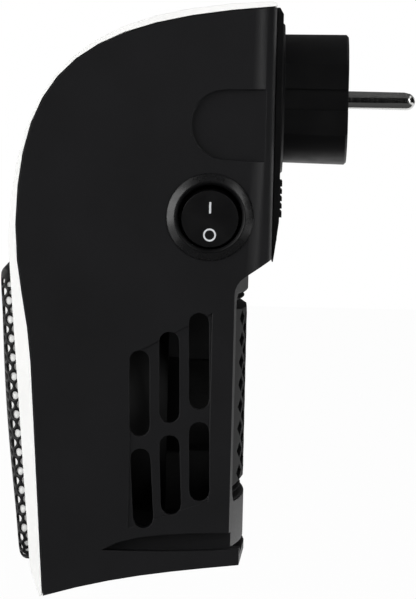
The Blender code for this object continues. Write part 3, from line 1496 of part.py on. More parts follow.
def plug_pin(name, side, body):
    """A round pin with a domed tip, a collar behind the insert and a tail for its clip."""
    radius = PIN_DIAMETER / 2
    tip = arc((0, PIN_LENGTH - radius), radius, math.pi / 2, 0, 4)
    tip[0] = (0, PIN_LENGTH)
    collar = -INSERT_DEPTH - GAP
    tail = PIN_TAIL_DIAMETER / 2
    profile = tip + [
        (radius, collar),
        (radius + PIN_COLLAR_WIDTH, collar),
        (radius + PIN_COLLAR_WIDTH, collar - PIN_COLLAR_LENGTH),
        (tail, collar - PIN_COLLAR_LENGTH),
        (tail, collar - PIN_COLLAR_LENGTH - PIN_TAIL_LENGTH),
        (0, collar - PIN_COLLAR_LENGTH - PIN_TAIL_LENGTH),
    ]
    pin = turned(name, profile, (0, 1, 0), (side * PIN_SPACING / 2, 0, 0), 16)
    return finish_part(pin, name, "nickel", body)


def pin_clip(name, side, body):
    """A brass clip that is crimped on a pin's tail."""
    inner = PIN_TAIL_DIAMETER / 2 + GAP
    outer = inner + CLIP_WALL
    start = -INSERT_DEPTH - GAP - PIN_COLLAR_LENGTH - GAP
    profile = [(outer, start), (outer, start - CLIP_LENGTH), (inner, start - CLIP_LENGTH), (inner, start)]
    clip = turned(name, profile, (0, 1, 0), (side * PIN_SPACING / 2, 0, 0), 12)
    return finish_part(clip, name, "brass", body)


def plug_lock_slider(body):
    """A ribbed thumb slider whose flange runs behind the cover."""
    half = SLIDER_HALF_WIDTH
    bottom = SLIDER_TOP - SLIDER_HEIGHT
    face = COVER_FACE + SLIDER_PROUD
    pad = ((-half, BOX_REAR - WALL / 2, bottom), (half, face, SLIDER_TOP))
    slider = blocks("plug_lock_slider", [pad])
    flange_half = half + SLIDER_FLANGE
    flange_top = -FLANGE_RADIUS - SLIDER_TONGUE_GAP
    flange = (
        (-flange_half, BOX_REAR - WALL + GAP, bottom - SLIDER_FLANGE),
        (flange_half, BOX_REAR, flange_top),
    )
    join(slider, blocks("slider_flange", [flange]))
    step = SLIDER_HEIGHT / (SLIDER_RIBS + 1)
    grooves = []
    for i in range(SLIDER_RIBS):
        height = bottom + step * (i + 1)
        low = (-half - OVERRUN, face - SLIDER_GROOVE / 2, height - SLIDER_GROOVE / 2)
        grooves.append((low, (half + OVERRUN, face + OVERRUN, height + SLIDER_GROOVE / 2)))
    cut(slider, blocks("slider_grooves", grooves))
    return finish_part(slider, "plug_lock_slider", "black_plastic", body)


def rocker_place():
    """The middle of the rocker's axle."""
    return Vector((HALF_WIDTH - ROCKER_PIVOT_DEPTH, SWITCH_PLACE, SWITCH_HEIGHT))


def rocker_axle(name, spare, end_gap):
    """The axle across the rocker, or with spare room the sockets that it turns in."""
    reach = Vector((0, SWITCH_BORE_RADIUS + ROCKER_AXLE_SEAT + end_gap, 0))
    return rod(name, (0, 1, 0), -reach, reach, ROCKER_AXLE_RADIUS + spare, 16)


def switch_housing(body):
    """The switch's round body with its raised ring and the sockets of the rocker's axle."""
    rise = SWITCH_FLANGE_PROUD
    profile = [
        (0, -SWITCH_BORE_DEPTH),
        (SWITCH_BORE_RADIUS, -SWITCH_BORE_DEPTH),
        (SWITCH_BORE_RADIUS, rise / 2),
        (SWITCH_BORE_RADIUS + rise / 3, rise),
        (SWITCH_FLANGE_RADIUS - rise / 3, rise / 2),
        (SWITCH_FLANGE_RADIUS, GAP),
        (SWITCH_BODY_RADIUS, GAP),
        (SWITCH_BODY_RADIUS, -SWITCH_DEPTH),
        (0, -SWITCH_DEPTH),
    ]
    place = (HALF_WIDTH, SWITCH_PLACE, SWITCH_HEIGHT)
    ring = turned("switch_housing", profile, (1, 0, 0), place, 36)
    sockets = rocker_axle("axle_sockets", ROCKER_AXLE_CLEARANCE, ROCKER_AXLE_END_GAP)
    sockets.matrix_world = Matrix.Translation(rocker_place()) @ sockets.matrix_world
    cut(ring, sockets)
    return finish_part(ring, "switch_housing", "black_plastic", body)


def switch_blade(name, row, body):
    """A flat terminal blade behind the switch."""
    start = HALF_WIDTH - SWITCH_DEPTH - GAP
    height = SWITCH_HEIGHT + row * BLADE_SPREAD
    low = (start - BLADE_LENGTH, SWITCH_PLACE - BLADE_WIDTH / 2, height - BLADE_THICKNESS / 2)
    high = (start, SWITCH_PLACE + BLADE_WIDTH / 2, height + BLADE_THICKNESS / 2)
    return finish_part(blocks(name, [(low, high)]), name, "brass", body)


def rocker(body):
    """The round rocker on its axle, pressed at its lower half: the OFF position."""
    rise = ROCKER_RADIUS * math.tan(ROCKER_THROW / 2)
    rim = ROCKER_RADIUS + OVERRUN
    outline = [
        (ROCKER_FACE, 0),
        (ROCKER_FACE + rise * rim / ROCKER_RADIUS, rim),
        (-ROCKER_SKIRT, rim),
        (-ROCKER_SKIRT, ROCKER_HEEL_HALF * 2),
        (-ROCKER_HEEL_DEPTH, ROCKER_HEEL_HALF),
        (-ROCKER_HEEL_DEPTH, -ROCKER_HEEL_HALF),
        (-ROCKER_SKIRT, -ROCKER_HEEL_HALF * 2),
        (-ROCKER_SKIRT, -rim),
        (ROCKER_FACE + rise * rim / ROCKER_RADIUS, -rim),
    ]
    button = flat_solid("rocker", [outline], FRONT, -rim, rim)
    near, far = -ROCKER_HEEL_DEPTH - OVERRUN, ROCKER_FACE + rise + OVERRUN
    disc = rod("rocker_round", (1, 0, 0), (near, 0, 0), (far, 0, 0), ROCKER_RADIUS, 32)
    keep(button, disc)
    axle = rocker_axle("rocker_pin", 0, 0)
    join(button, axle)
    tilt = Matrix.Translation(rocker_place()) @ Matrix.Rotation(ROCKER_THROW / 2, 4, "Y")
    bpy.context.view_layer.update()
    for piece in (button, disc, axle):
        piece.matrix_world = tilt @ piece.matrix_world
    return finish_part(button, "rocker", "black_plastic", body)


def control_board(body):
    front, rear = board_depths()
    half = INNER_WALL - GAP
    outline = rounded_box(-half, half, BOARD_BOTTOM, BOARD_TOP, BOARD_THICKNESS, 2)
    board = flat_solid("control_board", [outline], FRONT, front, rear)
    return finish_part(board, "control_board", "green_board", body)


def board_block(name, size, place, finish, body):
    """A boxed component on the rear face of the control board."""
    rear = board_depths()[1] + GAP
    across, up, out = size
    low = (place[0] - across / 2, rear, place[1] - up / 2)
    high = (place[0] + across / 2, rear + out, place[1] + up / 2)
    part = bevel_sharp(blocks(name, [(low, high)]), BOARD_THICKNESS / 3, 1)
    return finish_part(part, name, finish, body)


def capacitor(body):
    rear = board_depths()[1] + GAP
    across = CAPACITOR_INSET - INNER_WALL
    start = (across, rear, CAPACITOR_RISE)
    end = (across, rear + CAPACITOR_LENGTH, CAPACITOR_RISE)
    can = rod("capacitor", (0, 1, 0), start, end, CAPACITOR_RADIUS, 16)
    return finish_part(can, "capacitor", "grey_plastic", body)


def fan_duct(body):
    """A plate across the housing with the fan's ring, and arms that carry the motor's cup.

    The arms above and below the motor are webs as deep as the motor.
    """
    front, rear = duct_depths()
    bore = BLADE_TIP_RADIUS + TIP_CLEARANCE
    half = INNER_WALL - GAP
    narrow = BASE_HALF_WIDTH - GAP
    step = BASE_HEIGHT + GAP
    right = [(narrow, DUCT_BOTTOM), (narrow, step), (half, step), (half, DUCT_TOP)]
    outline = right + [(-across, height) for across, height in reversed(right)]
    centre = (0, FAN_HEIGHT)
    plate_hole = circle(centre, bore + DUCT_WALL / 2, 28)
    duct = flat_solid("fan_duct", [outline, plate_hole], FRONT, front, rear)
    arm_front = fan_depths()[1] + HUB_GAP
    arm_rear = arm_front + ARM_THICKNESS
    ring_outer = bore + DUCT_WALL
    ring_front = front - DUCT_PLATE / 4
    ring_loops = [circle(centre, ring_outer, 28), circle(centre, bore, 28)]
    ring = flat_solid("duct_ring", ring_loops, FRONT, ring_front, arm_rear)
    join(duct, ring)
    cup_inner = MOTOR_RADIUS + GAP
    cup = flat_solid(
        "motor_cup",
        [circle(centre, cup_inner + CUP_WALL, 20), circle(centre, cup_inner, 20)],
        FRONT,
        arm_front,
        arm_front + CUP_LENGTH,
    )
    join(duct, cup)
    for i in range(ARM_COUNT):
        angle = 2 * math.pi * i / ARM_COUNT
        end = motor_depths()[1] if i % 2 else arm_rear - GAP
        low = (cup_inner + CUP_WALL / 2, arm_front + GAP, -ARM_WIDTH / 2)
        high = (bore + DUCT_WALL / 2, end, ARM_WIDTH / 2)
        arm = blocks(f"motor_arm_{i}", [(low, high)])
        arm.matrix_world = Matrix.Translation((0, 0, FAN_HEIGHT)) @ Matrix.Rotation(angle, 4, "Y")
        join(duct, arm)
    return finish_part(duct, "fan_duct", "black_plastic", body)


def motor_can(body):
    """The small motor's steel can, with the bearing hole that its shaft runs in."""
    front, rear = motor_depths()
    length = rear - front
    bearing = SHAFT_RADIUS + GAP
    profile = [
        (0, 0),
        (MOTOR_RADIUS, 0),
        (MOTOR_RADIUS, -length),
        (bearing, -length),
        (bearing, -length * (1 - BEARING_SHARE)),
        (0, -length * (1 - BEARING_SHARE)),
    ]
    can = turned("motor_can", profile, (0, 1, 0), (0, rear, FAN_HEIGHT), 20)
    return finish_part(can, "motor_can", "steel", body)


def motor_end_cap(body):
    rear = motor_depths()[1] + GAP
    radius = MOTOR_RADIUS - MOTOR_CAP_THICKNESS / 2
    profile = [
        (0, MOTOR_CAP_THICKNESS),
        (radius * CAP_BOSS_SHARE, MOTOR_CAP_THICKNESS),
        (radius * CAP_BOSS_SHARE + GAP, MOTOR_CAP_THICKNESS / 2),
        (radius, MOTOR_CAP_THICKNESS / 2),
        (radius, 0),
        (0, 0),
    ]
    cap = turned("motor_end_cap", profile, (0, 1, 0), (0, rear, FAN_HEIGHT), 20)
    return finish_part(cap, "motor_end_cap", "grey_plastic", body)


def motor_shaft(body):
    """The shaft, from inside the motor to inside the fan's hub."""
    front, rear = motor_depths()
    fan_front = fan_depths()[0]
    start = (0, fan_front + FAN_DEPTH / 4, FAN_HEIGHT)
    end = (0, front + (rear - front) * SHAFT_IN_MOTOR_SHARE, FAN_HEIGHT)
    shaft = rod("motor_shaft", (0, 1, 0), start, end, SHAFT_RADIUS, 12)
    return finish_part(shaft, "motor_shaft", "steel", body)


def fan_blade(work, index):
    """One twisted blade, as a sheet of points from inside the hub to its tip."""
    front, rear = fan_depths()
    start = 2 * math.pi * index / FAN_BLADES
    chord = 2 * math.pi / FAN_BLADES * BLADE_CHORD_SHARE
    depth = (rear - front) * BLADE_PITCH_SHARE
    root = HUB_RADIUS * BLADE_ROOT_SHARE
    rows = []
    for reach in (0, 1 / 2, 1):
        radius = root + (BLADE_TIP_RADIUS - root) * reach
        row = []
        for share in (-1 / 2, -1 / 6, 1 / 6, 1 / 2):
            angle = start + chord * share + FAN_BLADE_TWIST * (reach - 1 / 2) * share
            camber = (1 / 4 - share * share) * depth * BLADE_CAMBER_SHARE
            along = (front + rear) / 2 + depth * share + camber
            row.append(work.verts.new((radius * math.cos(angle), along, radius * math.sin(angle))))
        rows.append(row)
    for inner, outer in zip(rows, rows[1:]):
        for i in range(len(inner) - 1):
            work.faces.new((inner[i], inner[i + 1], outer[i + 1], outer[i]))


def impeller(body):
    """The axial fan: a hub with a blind shaft hole and seven twisted blades."""
    rear = fan_depths()[1]
    bore = SHAFT_RADIUS + GAP
    profile = [
        (0, -FAN_DEPTH * HUB_BORE_SHARE),
        (bore, -FAN_DEPTH * HUB_BORE_SHARE),
        (bore, 0),
        (HUB_RADIUS, 0),
        (HUB_RADIUS, -FAN_DEPTH * HUB_STRAIGHT_SHARE),
        (HUB_RADIUS * HUB_FRONT_SHARE, -FAN_DEPTH),
        (0, -FAN_DEPTH),
    ]
    hub = turned("impeller", profile, (0, 1, 0), (0, rear, FAN_HEIGHT), 20)
    work = bmesh.new()
    for index in range(FAN_BLADES):
        fan_blade(work, index)
    mesh = bpy.data.meshes.new("blades")
    work.to_mesh(mesh)
    work.free()
    blades = new_object("blades", mesh)
    blades.location = (0, 0, FAN_HEIGHT)
    sheet = blades.modifiers.new("thickness", "SOLIDIFY")
    sheet.thickness = FAN_BLADE_THICKNESS
    sheet.offset = 0
    join(hub, blades)
    return finish_part(hub, "impeller", "grey_plastic", body)


def heater_opening():
    """Half width and half height of the window that the heating elements fill."""
    return HEATER_HALF_WIDTH - HEATER_RIM, HEATER_HALF_HEIGHT - HEATER_RIM


def heater_frame(body):
    """Heat-proof frame with an ear on each side that slides into the housing's rails."""
    front, rear = heater_depths()
    half, high = HEATER_HALF_WIDTH, HEATER_HALF_HEIGHT
    window, window_high = heater_opening()
    outer = rounded_box(-half, half, FAN_HEIGHT - high, FAN_HEIGHT + high, HEATER_RIM / 2, 3)
    low, top = FAN_HEIGHT - window_high, FAN_HEIGHT + window_high
    inner = [(-window, low), (window, low), (window, top), (-window, top)]
    frame = flat_solid("heater_frame", [outer, inner], FRONT, front, rear)
    ear_front, ear_rear = ear_depths()
    edge = high - HEATER_RIM / 2
    low_corner = (half - HEATER_RIM / 2, ear_front, FAN_HEIGHT - edge)
    high_corner = (INNER_WALL - GAP, ear_rear, FAN_HEIGHT + edge)
    join(frame, blocks("heater_ears", mirrored_boxes([(low_corner, high_corner)])))
    return finish_part(frame, "heater_frame", "heat_board", body)


def heater_rows():
    """Heights of the fin strips and bars in the heater's window, from the bottom up."""
    window_high = heater_opening()[1]
    gaps = 2 * HEATER_BARS + 2
    strips = HEATER_BARS + 1
    strip = (2 * window_high - HEATER_BARS * HEATER_BAR_HEIGHT - gaps * GAP) / strips
    pitch = strip + HEATER_BAR_HEIGHT + 2 * GAP
    lowest = FAN_HEIGHT - window_high + GAP
    fins = [(lowest + i * pitch, lowest + i * pitch + strip) for i in range(strips)]
    bars = [(fin[1] + GAP, fin[1] + GAP + HEATER_BAR_HEIGHT) for fin in fins[:-1]]
    return fins, bars


def heater_bar(name, low, high, body):
    """A flat aluminium bar with the heating stones inside."""
    front, rear = heater_depths()
    half = heater_opening()[0] - GAP
    box = ((-half, front + HEATER_INSET, low), (half, rear - HEATER_INSET, high))
    return finish_part(blocks(name, [box]), name, "aluminium", body)


def heater_fins(name, low, high, body):
    """A folded strip of thin aluminium that hands the bars' heat to the air."""
    front, rear = heater_depths()
    half = heater_opening()[0] - GAP
    folds = 2 * int(2 * half / HEATER_FIN_PITCH)
    step = 2 * half / folds
    upright = HEATER_FIN_SHEET * (high - low) / step
    upper, lower = [], []
    for i in range(folds + 1):
        height = low if i % 2 else high - upright
        lower.append((i * step - half, height))
        upper.append((i * step - half, height + upright))
    outline = lower + upper[::-1]
    strip = flat_solid(name, [outline], FRONT, front + HEATER_INSET, rear - HEATER_INSET)
    return finish_part(strip, name, "aluminium", body)


def heater_terminal(name, side, body):
    front, rear = heater_depths()
    middle = (front + rear) / 2
    bottom = FAN_HEIGHT + HEATER_HALF_HEIGHT + GAP
    across = side * TERMINAL_ACROSS
    half = TERMINAL_WIDTH / 2
    low = (across - TERMINAL_THICKNESS / 2, middle - half, bottom)
    high = (across + TERMINAL_THICKNESS / 2, middle + half, bottom + TERMINAL_HEIGHT)
    return finish_part(blocks(name, [(low, high)]), name, "brass", body)


def thermal_cutout(body):
    """A round bimetal cut-out that stands on the heater's frame and is as deep as the frame."""
    front, rear = heater_depths()
    radius = (rear - front) * CUTOUT_RADIUS_SHARE
    bottom = FAN_HEIGHT + HEATER_HALF_HEIGHT + GAP
    profile = [
        (0, CUTOUT_HEIGHT),
        (radius * CUTOUT_STEP_SHARE, CUTOUT_HEIGHT),
        (radius * CUTOUT_STEP_SHARE, CUTOUT_HEIGHT * CUTOUT_STEP_SHARE),
        (radius, CUTOUT_HEIGHT * CUTOUT_STEP_SHARE),
        (radius, 0),
        (0, 0),
    ]
    place = (CUTOUT_ACROSS, (front + rear) / 2, bottom)
    cutout = turned("thermal_cutout", profile, (0, 0, 1), place, 20)
    return finish_part(cutout, "thermal_cutout", "steel", body)


def thermal_fuse(body):
    front, rear = heater_depths()
    height = FAN_HEIGHT + HEATER_HALF_HEIGHT + GAP + FUSE_RADIUS
    middle = (front + rear) / 2
    start = (FUSE_ACROSS - FUSE_LENGTH / 2, middle, height)
    end = (FUSE_ACROSS + FUSE_LENGTH / 2, middle, height)
    fuse = rod("thermal_fuse", (1, 0, 0), start, end, FUSE_RADIUS, 12)
    return finish_part(fuse, "thermal_fuse", "nickel", body)


def build_plug(root):
    swivel_plug_body(root)
    plug_face_insert(root)
    for name, side in (("right", 1), ("left", -1)):
        plug_pin(f"plug_pin_{name}", side, root)
        pin_clip(f"pin_clip_{name}", side, root)


def build_shells(housing):
    rear_housing(housing)
    front_shell(housing)
    front_grille(housing)
    grille_frame(housing)
    rear_grille(housing)
    rear_cover(housing)
    swivel_retainer(housing)
    cover_screws(housing)
    shell_screws(housing)


def build_controls(housing):
    switch_housing(housing)
    switch_blade("switch_blade_upper", 1, housing)
    switch_blade("switch_blade_lower", -1, housing)
    display_lens(housing)
    display_module(housing)
    display_board(housing)
    control_board(housing)
    board_block("relay", RELAY_SIZE, RELAY_PLACE, "blue_relay", housing)
    board_block("transformer", TRANSFORMER_SIZE, TRANSFORMER_PLACE, "grey_plastic", housing)
    capacitor(housing)
    for i, across in enumerate(key_places()):
        tact_switch(f"tact_switch_{i + 1}", across, housing)
        key = body_at(f"key_{i + 1}_slide", (across, SHELL_BROW, KEY_HEIGHT))
        key_cap(f"key_{i + 1}", across, key)


def build_heater(housing):
    heater_frame(housing)
    fins, bars = heater_rows()
    for i, (low, high) in enumerate(bars):
        heater_bar(f"heater_bar_{i + 1}", low, high, housing)
    for i, (low, high) in enumerate(fins):
        heater_fins(f"heater_fins_{i + 1}", low, high, housing)
    for name, side in (("right", 1), ("left", -1)):
        heater_terminal(f"heater_terminal_{name}", side, housing)
    thermal_cutout(housing)
    thermal_fuse(housing)


def build_fan(housing):
    fan_duct(housing)
    motor_can(housing)
    motor_end_cap(housing)
    axle = body_at("fan_axle", (0, fan_depths()[1], FAN_HEIGHT))
    motor_shaft(axle)
    impeller(axle)


def main():
    root = body_at("plug_in_wall", (0, 0, 0))
    housing = body_at("swivelling_heater", (0, 0, 0))
    build_plug(root)
    build_shells(housing)
    build_controls(housing)
    build_heater(housing)
    build_fan(housing)
    tilt = body_at("rocker_axle", rocker_place())
    rocker(tilt)
    lock = body_at("lock_slide", (0, COVER_FACE, SLIDER_TOP))
    plug_lock_slider(lock)


main()
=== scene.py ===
"""Finishes, fine pieces, light and camera for the plug-in fan heater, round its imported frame.

Lengths are metres in the frame of the part: +Y runs along the pins, +Z is up, X is the width.
"""

import math

import bmesh
import bpy
from mathutils import Matrix, Vector


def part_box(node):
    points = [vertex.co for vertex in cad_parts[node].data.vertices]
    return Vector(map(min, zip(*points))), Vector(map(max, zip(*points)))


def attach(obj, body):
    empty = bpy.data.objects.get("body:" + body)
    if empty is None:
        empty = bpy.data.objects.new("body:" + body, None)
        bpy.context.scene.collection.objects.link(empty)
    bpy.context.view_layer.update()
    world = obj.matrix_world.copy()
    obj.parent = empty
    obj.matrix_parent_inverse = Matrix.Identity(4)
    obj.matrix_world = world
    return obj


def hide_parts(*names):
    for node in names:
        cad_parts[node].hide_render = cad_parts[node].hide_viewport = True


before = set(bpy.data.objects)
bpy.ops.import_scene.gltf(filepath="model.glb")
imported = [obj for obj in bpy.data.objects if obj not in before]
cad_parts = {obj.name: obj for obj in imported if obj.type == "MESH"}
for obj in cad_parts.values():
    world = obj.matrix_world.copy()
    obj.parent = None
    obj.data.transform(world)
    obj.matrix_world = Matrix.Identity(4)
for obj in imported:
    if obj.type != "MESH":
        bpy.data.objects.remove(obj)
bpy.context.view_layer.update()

MM = 0.001

# Front grille, as in the part: its place on the leaning face and the form of its sheet
FRONT_LEAN = math.radians(5.07)
CHEEK_REACH = -93.1 * MM
CHEEK_HEIGHT = -50.0 * MM
GRILLE_HEIGHT = -89.2 * MM
GRILLE_HALF_WIDTH = 36.0 * MM
GRILLE_HALF_HEIGHT = 41.3 * MM
GRILLE_CORNER = 8.3 * MM
GRILLE_BEND = 2.3 * MM
GRILLE_PROUD = 3.2 * MM
GRILLE_DOME = 2.0 * MM
GRILLE_WALL_INSIDE = 2.0 * MM

# Perforated sheet of the real grille: round holes in staggered rows
SHEET_THICKNESS = 0.5 * MM
HOLE_PITCH = 3.06 * MM
HOLE_DIAMETER = 2.35 * MM
PLAIN_TOP = 2.6 * MM
CELL_SIDES = 12
CELL_MERGE = 0.02 * MM
CELL_SLIVER = 0.005 * MM

# White lip of the grille's frame, behind the sheet's rounded wall
LIP_BEHIND = 0.85 * MM
LIP_THICKNESS = 0.35 * MM
LIP_FROM = 0.15
LIP_ROWS = 8
LIP_CORNER_STEPS = 12

# Folded aluminium strips between the heater's bars
FIN_STRIPS = 4
FIN_PITCH = 1.9 * MM
FIN_SHEET = 0.2 * MM
FIN_FLAT = 0.25 * MM

# Foam sleeve that centres the motor between the webs of its duct
SLEEVE_INSIDE = 12.22 * MM
SLEEVE_OUTSIDE = 13.05 * MM
SLEEVE_MIDDLE = Vector((0, 0, -88.0 * MM))
SLEEVE_REACH = (-49.5 * MM, -36.0 * MM)
SLEEVE_STEPS = 64

# Inner slope of the switch's ring: its outline from the ring's crest down into the bore
SLOPE_PLACE = Vector((46.0 * MM, -38.3 * MM, -32.7 * MM))
SLOPE_OUTLINE = (
    (9.96 * MM, 1.63 * MM),
    (9.7 * MM, 1.5 * MM),
    (9.0 * MM, 0.55 * MM),
    (8.9 * MM, 0.3 * MM),
    (8.9 * MM, -0.9 * MM),
    (9.38 * MM, -1.2 * MM),
    (9.38 * MM, 0.7 * MM),
)
SLOPE_STEPS = 72

# Marks printed on the rocker of the switch
SWITCH_PIVOT = Vector((43.0 * MM, -38.3 * MM, -32.7 * MM))
ROCKER_FACE = 3.4 * MM
ROCKER_HALF_THROW = math.radians(7)
INK_DEPTH = 0.02 * MM
INK_PROUD = 0.03 * MM
ON_MARK_RISE = 3.08 * MM
ON_MARK_HEIGHT = 3.3 * MM
ON_MARK_WIDTH = 0.56 * MM
OFF_MARK_RISE = -4.49 * MM
OFF_MARK_RADIUS = 1.78 * MM
OFF_MARK_STROKE = 0.46 * MM
OFF_MARK_STEPS = 48

# Faces that meet at less than this are facets of one round surface
ROUND_BELOW = math.radians(32)
CORNER_MERGE = 0.001 * MM

# Camera: where the middle of the picture looks, and how the picture is scaled
LOOK_AT = Vector((0, -38.3 * MM, -57.9 * MM))
CAMERA_DISTANCE = 1.4
CAMERA_ELEVATION = math.radians(3.0)
CAMERA_ROLL = math.radians(1.35)
PIXELS_PER_METRE = 3500
PICTURE_HEIGHT = 599
SENSOR = 36.0

# Studio floor: a sheet of paper that curls up at its far edges
FLOOR_HEIGHT = -0.240
FLOOR_HALF = 3.0
FLOOR_STEPS = 12
FLOOR_CURL = 0.02
FLOOR_CURL_POWER = 6
PAPER_WHITE_SHARE = 0.97

# Light of the room: how strong it falls on the object, and how it is seen
ROOM_GLOW = 0.4
ROOM_WHITE = 1.0

# Soft boxes: where each stands, its width, its height and its power in watts
LAMP_AIM = (0, -0.04, -0.06)
LEFT_BOX = ((0.6, -0.88, 0.05), 0.9, 1.1, 9)
RIGHT_BOX = ((0.9, 0.68, 0.12), 0.3, 1.3, 6.2)
TOP_BOX = ((0.1, -0.1, 1.1), 1.2, 1.2, 2.6)

# Cards of the studio: the path of each card's edge, and how far the edge is carried
CARD_OVER_CAMERA = (
    ((0.45, -0.6, -0.235), (0.66, -0.6, -0.05), (0.8, -0.6, 0.3), (0.72, -0.6, 0.7)),
    (0, 1.1, 0),
)
CARD_OVERHEAD = (
    (
        (0.72, -0.55, 0.7),
        (0.4, -0.55, 0.95),
        (0.0, -0.55, 1.02),
        (-0.5, -0.55, 0.9),
        (-0.9, -0.55, 0.5),
        (-1.05, -0.55, 0.0),
        (-1.1, -0.55, -0.235),
    ),
    (0, 1.15, 0),
)
CARD_BESIDE_PLUG = (
    (
        (1.1, 0.9, -0.235),
        (0.7, 1.15, -0.235),
        (0.2, 1.3, -0.235),
        (-0.4, 1.2, -0.235),
        (-0.8, 0.8, -0.235),
    ),
    (0, 0, 1.4),
)
CARD_BELOW = (((0.75, -0.3, -0.236), (-0.1, -0.3, -0.236)), (0, 0.7, 0))


def linear(colour):
    """The linear RGBA of an sRGB hex colour."""
    channels = [int(colour[i : i + 2], 16) / 255 for i in (0, 2, 4)]
    return [c / 12.92 if c <= 0.04045 else ((c + 0.055) / 1.055) ** 2.4 for c in channels] + [1]


def add_node(tree, kind, values=None, links=None, **settings):
    """Add one node: its settings, the values on its sockets and the sockets that feed it."""
    made = tree.nodes.new(kind)
    for name, setting in settings.items():
        setattr(made, name, setting)
    for socket, value in (values or {}).items():
        made.inputs[socket].default_value = value
    for socket, source in (links or {}).items():
        tree.links.new(source, made.inputs[socket])
    return made


def new_finish(name, colour, roughness, ior=None, metallic=0.0):
    """A material that starts from the common values of what the real surface is made of."""
    finish = bpy.data.materials.new(name)
    finish.use_nodes = True
    tree = finish.node_tree
    shader = tree.nodes["Principled BSDF"]
    shader.inputs["Base Color"].default_value = linear(colour)
    shader.inputs["Roughness"].default_value = roughness
    shader.inputs["Metallic"].default_value = metallic
    if ior:
        shader.inputs["IOR"].default_value = ior
    place = add_node(tree, "ShaderNodeTexCoord").outputs["Object"]
    return finish, tree, shader, place


# ---------------------------------------------------------------- finishes


def spark_grained_abs():
    """Black ABS moulded in a spark-eroded tool: a fine even grain that breaks up the gloss."""
    finish, tree, shader, place = new_finish("spark_grained_black_abs", "131314", 0.4, 1.54)
    # The craters shade each other, which halves the mirror part of the gloss.
    shader.inputs["Specular IOR Level"].default_value = 0.25
    # Spark erosion leaves craters of about 0.15 mm; drawn at 0.4 mm so that they show.
    grain = add_node(tree, "ShaderNodeTexNoise", {"Scale": 1 / (0.4 * MM), "Detail": 1.5}, {"Vector": place})
    # The melt cools unevenly: the shade drifts a little over about 18 mm.
    drift = add_node(tree, "ShaderNodeTexNoise", {"Scale": 1 / (18 * MM), "Detail": 2}, {"Vector": place})
    shade = add_node(
        tree,
        "ShaderNodeMix",
        {"A": linear("101011"), "B": linear("171719")},
        {"Factor": drift.outputs["Fac"]},
        data_type="RGBA",
    )
    tree.links.new(shade.outputs["Result"], shader.inputs["Base Color"])
    gloss = add_node(
        tree,
        "ShaderNodeMapRange",
        {"From Min": 0.3, "From Max": 0.7, "To Min": 0.36, "To Max": 0.46},
        {"Value": grain.outputs["Fac"]},
    )
    tree.links.new(gloss.outputs["Result"], shader.inputs["Roughness"])
    # Moulded edges are never sharp: a radius of about a third of a millimetre.
    edge = add_node(tree, "ShaderNodeBevel", {"Radius": 0.35 * MM}, samples=4)
    craters = add_node(
        tree,
        "ShaderNodeBump",
        {"Strength": 0.5, "Distance": 0.03 * MM},
        {"Height": grain.outputs["Fac"], "Normal": edge.outputs["Normal"]},
    )
    tree.links.new(craters.outputs["Normal"], shader.inputs["Normal"])
    return finish


def etched_lattice_abs():
    """Black ABS of the lattice, moulded in an etched tool: coarser and duller than the housing."""
    finish, tree, shader, place = new_finish("etched_black_abs", "111112", 0.58, 1.54)
    # The deep etching traps the light, which leaves a small mirror part.
    shader.inputs["Specular IOR Level"].default_value = 0.1
    # Etching leaves a leather-like pattern of about 0.5 mm.
    etching = add_node(
        tree,
        "ShaderNodeTexVoronoi",
        {"Scale": 1 / (0.5 * MM)},
        {"Vector": place},
        feature="SMOOTH_F1",
    )
    shade = add_node(
        tree,
        "ShaderNodeMix",
        {"A": linear("0e0e0f"), "B": linear("161617")},
        {"Factor": etching.outputs["Distance"]},
        data_type="RGBA",
    )
    tree.links.new(shade.outputs["Result"], shader.inputs["Base Color"])
    edge = add_node(tree, "ShaderNodeBevel", {"Radius": 0.3 * MM}, samples=4)
    surface = add_node(
        tree,
        "ShaderNodeBump",
        {"Strength": 0.4, "Distance": 0.04 * MM},
        {"Height": etching.outputs["Distance"], "Normal": edge.outputs["Normal"]},
    )
    tree.links.new(surface.outputs["Normal"], shader.inputs["Normal"])
    return finish


def satin_plug_nylon():
    """Black polyamide of plug, cover and rocker, moulded in a blasted tool: darker than the housing."""
    finish, tree, shader, place = new_finish("blasted_black_polyamide", "0c0c0d", 0.44, 1.53)
    # The dimples shade each other, which takes down the mirror part of the gloss.
    shader.inputs["Specular IOR Level"].default_value = 0.18
    # Glass bead blasting leaves dimples of about 0.1 mm; drawn at 0.35 mm.
    dimples = add_node(tree, "ShaderNodeTexNoise", {"Scale": 1 / (0.35 * MM), "Detail": 1}, {"Vector": place})
    # Handling polishes the plug in patches of about 6 mm.
    wear = add_node(tree, "ShaderNodeTexNoise", {"Scale": 1 / (6 * MM), "Detail": 3}, {"Vector": place})
    gloss = add_node(
        tree,
        "ShaderNodeMapRange",
        {"From Min": 0.35, "From Max": 0.65, "To Min": 0.38, "To Max": 0.48},
        {"Value": wear.outputs["Fac"]},
    )
    tree.links.new(gloss.outputs["Result"], shader.inputs["Roughness"])
    shade = add_node(
        tree,
        "ShaderNodeMix",
        {"A": linear("0a0a0b"), "B": linear("0f0f10")},
        {"Factor": wear.outputs["Fac"]},
        data_type="RGBA",
    )
    tree.links.new(shade.outputs["Result"], shader.inputs["Base Color"])
    edge = add_node(tree, "ShaderNodeBevel", {"Radius": 0.3 * MM}, samples=4)
    surface = add_node(
        tree,
        "ShaderNodeBump",
        {"Strength": 0.35, "Distance": 0.02 * MM},
        {"Height": dimples.outputs["Fac"], "Normal": edge.outputs["Normal"]},
    )
    tree.links.new(surface.outputs["Normal"], shader.inputs["Normal"])
    return finish


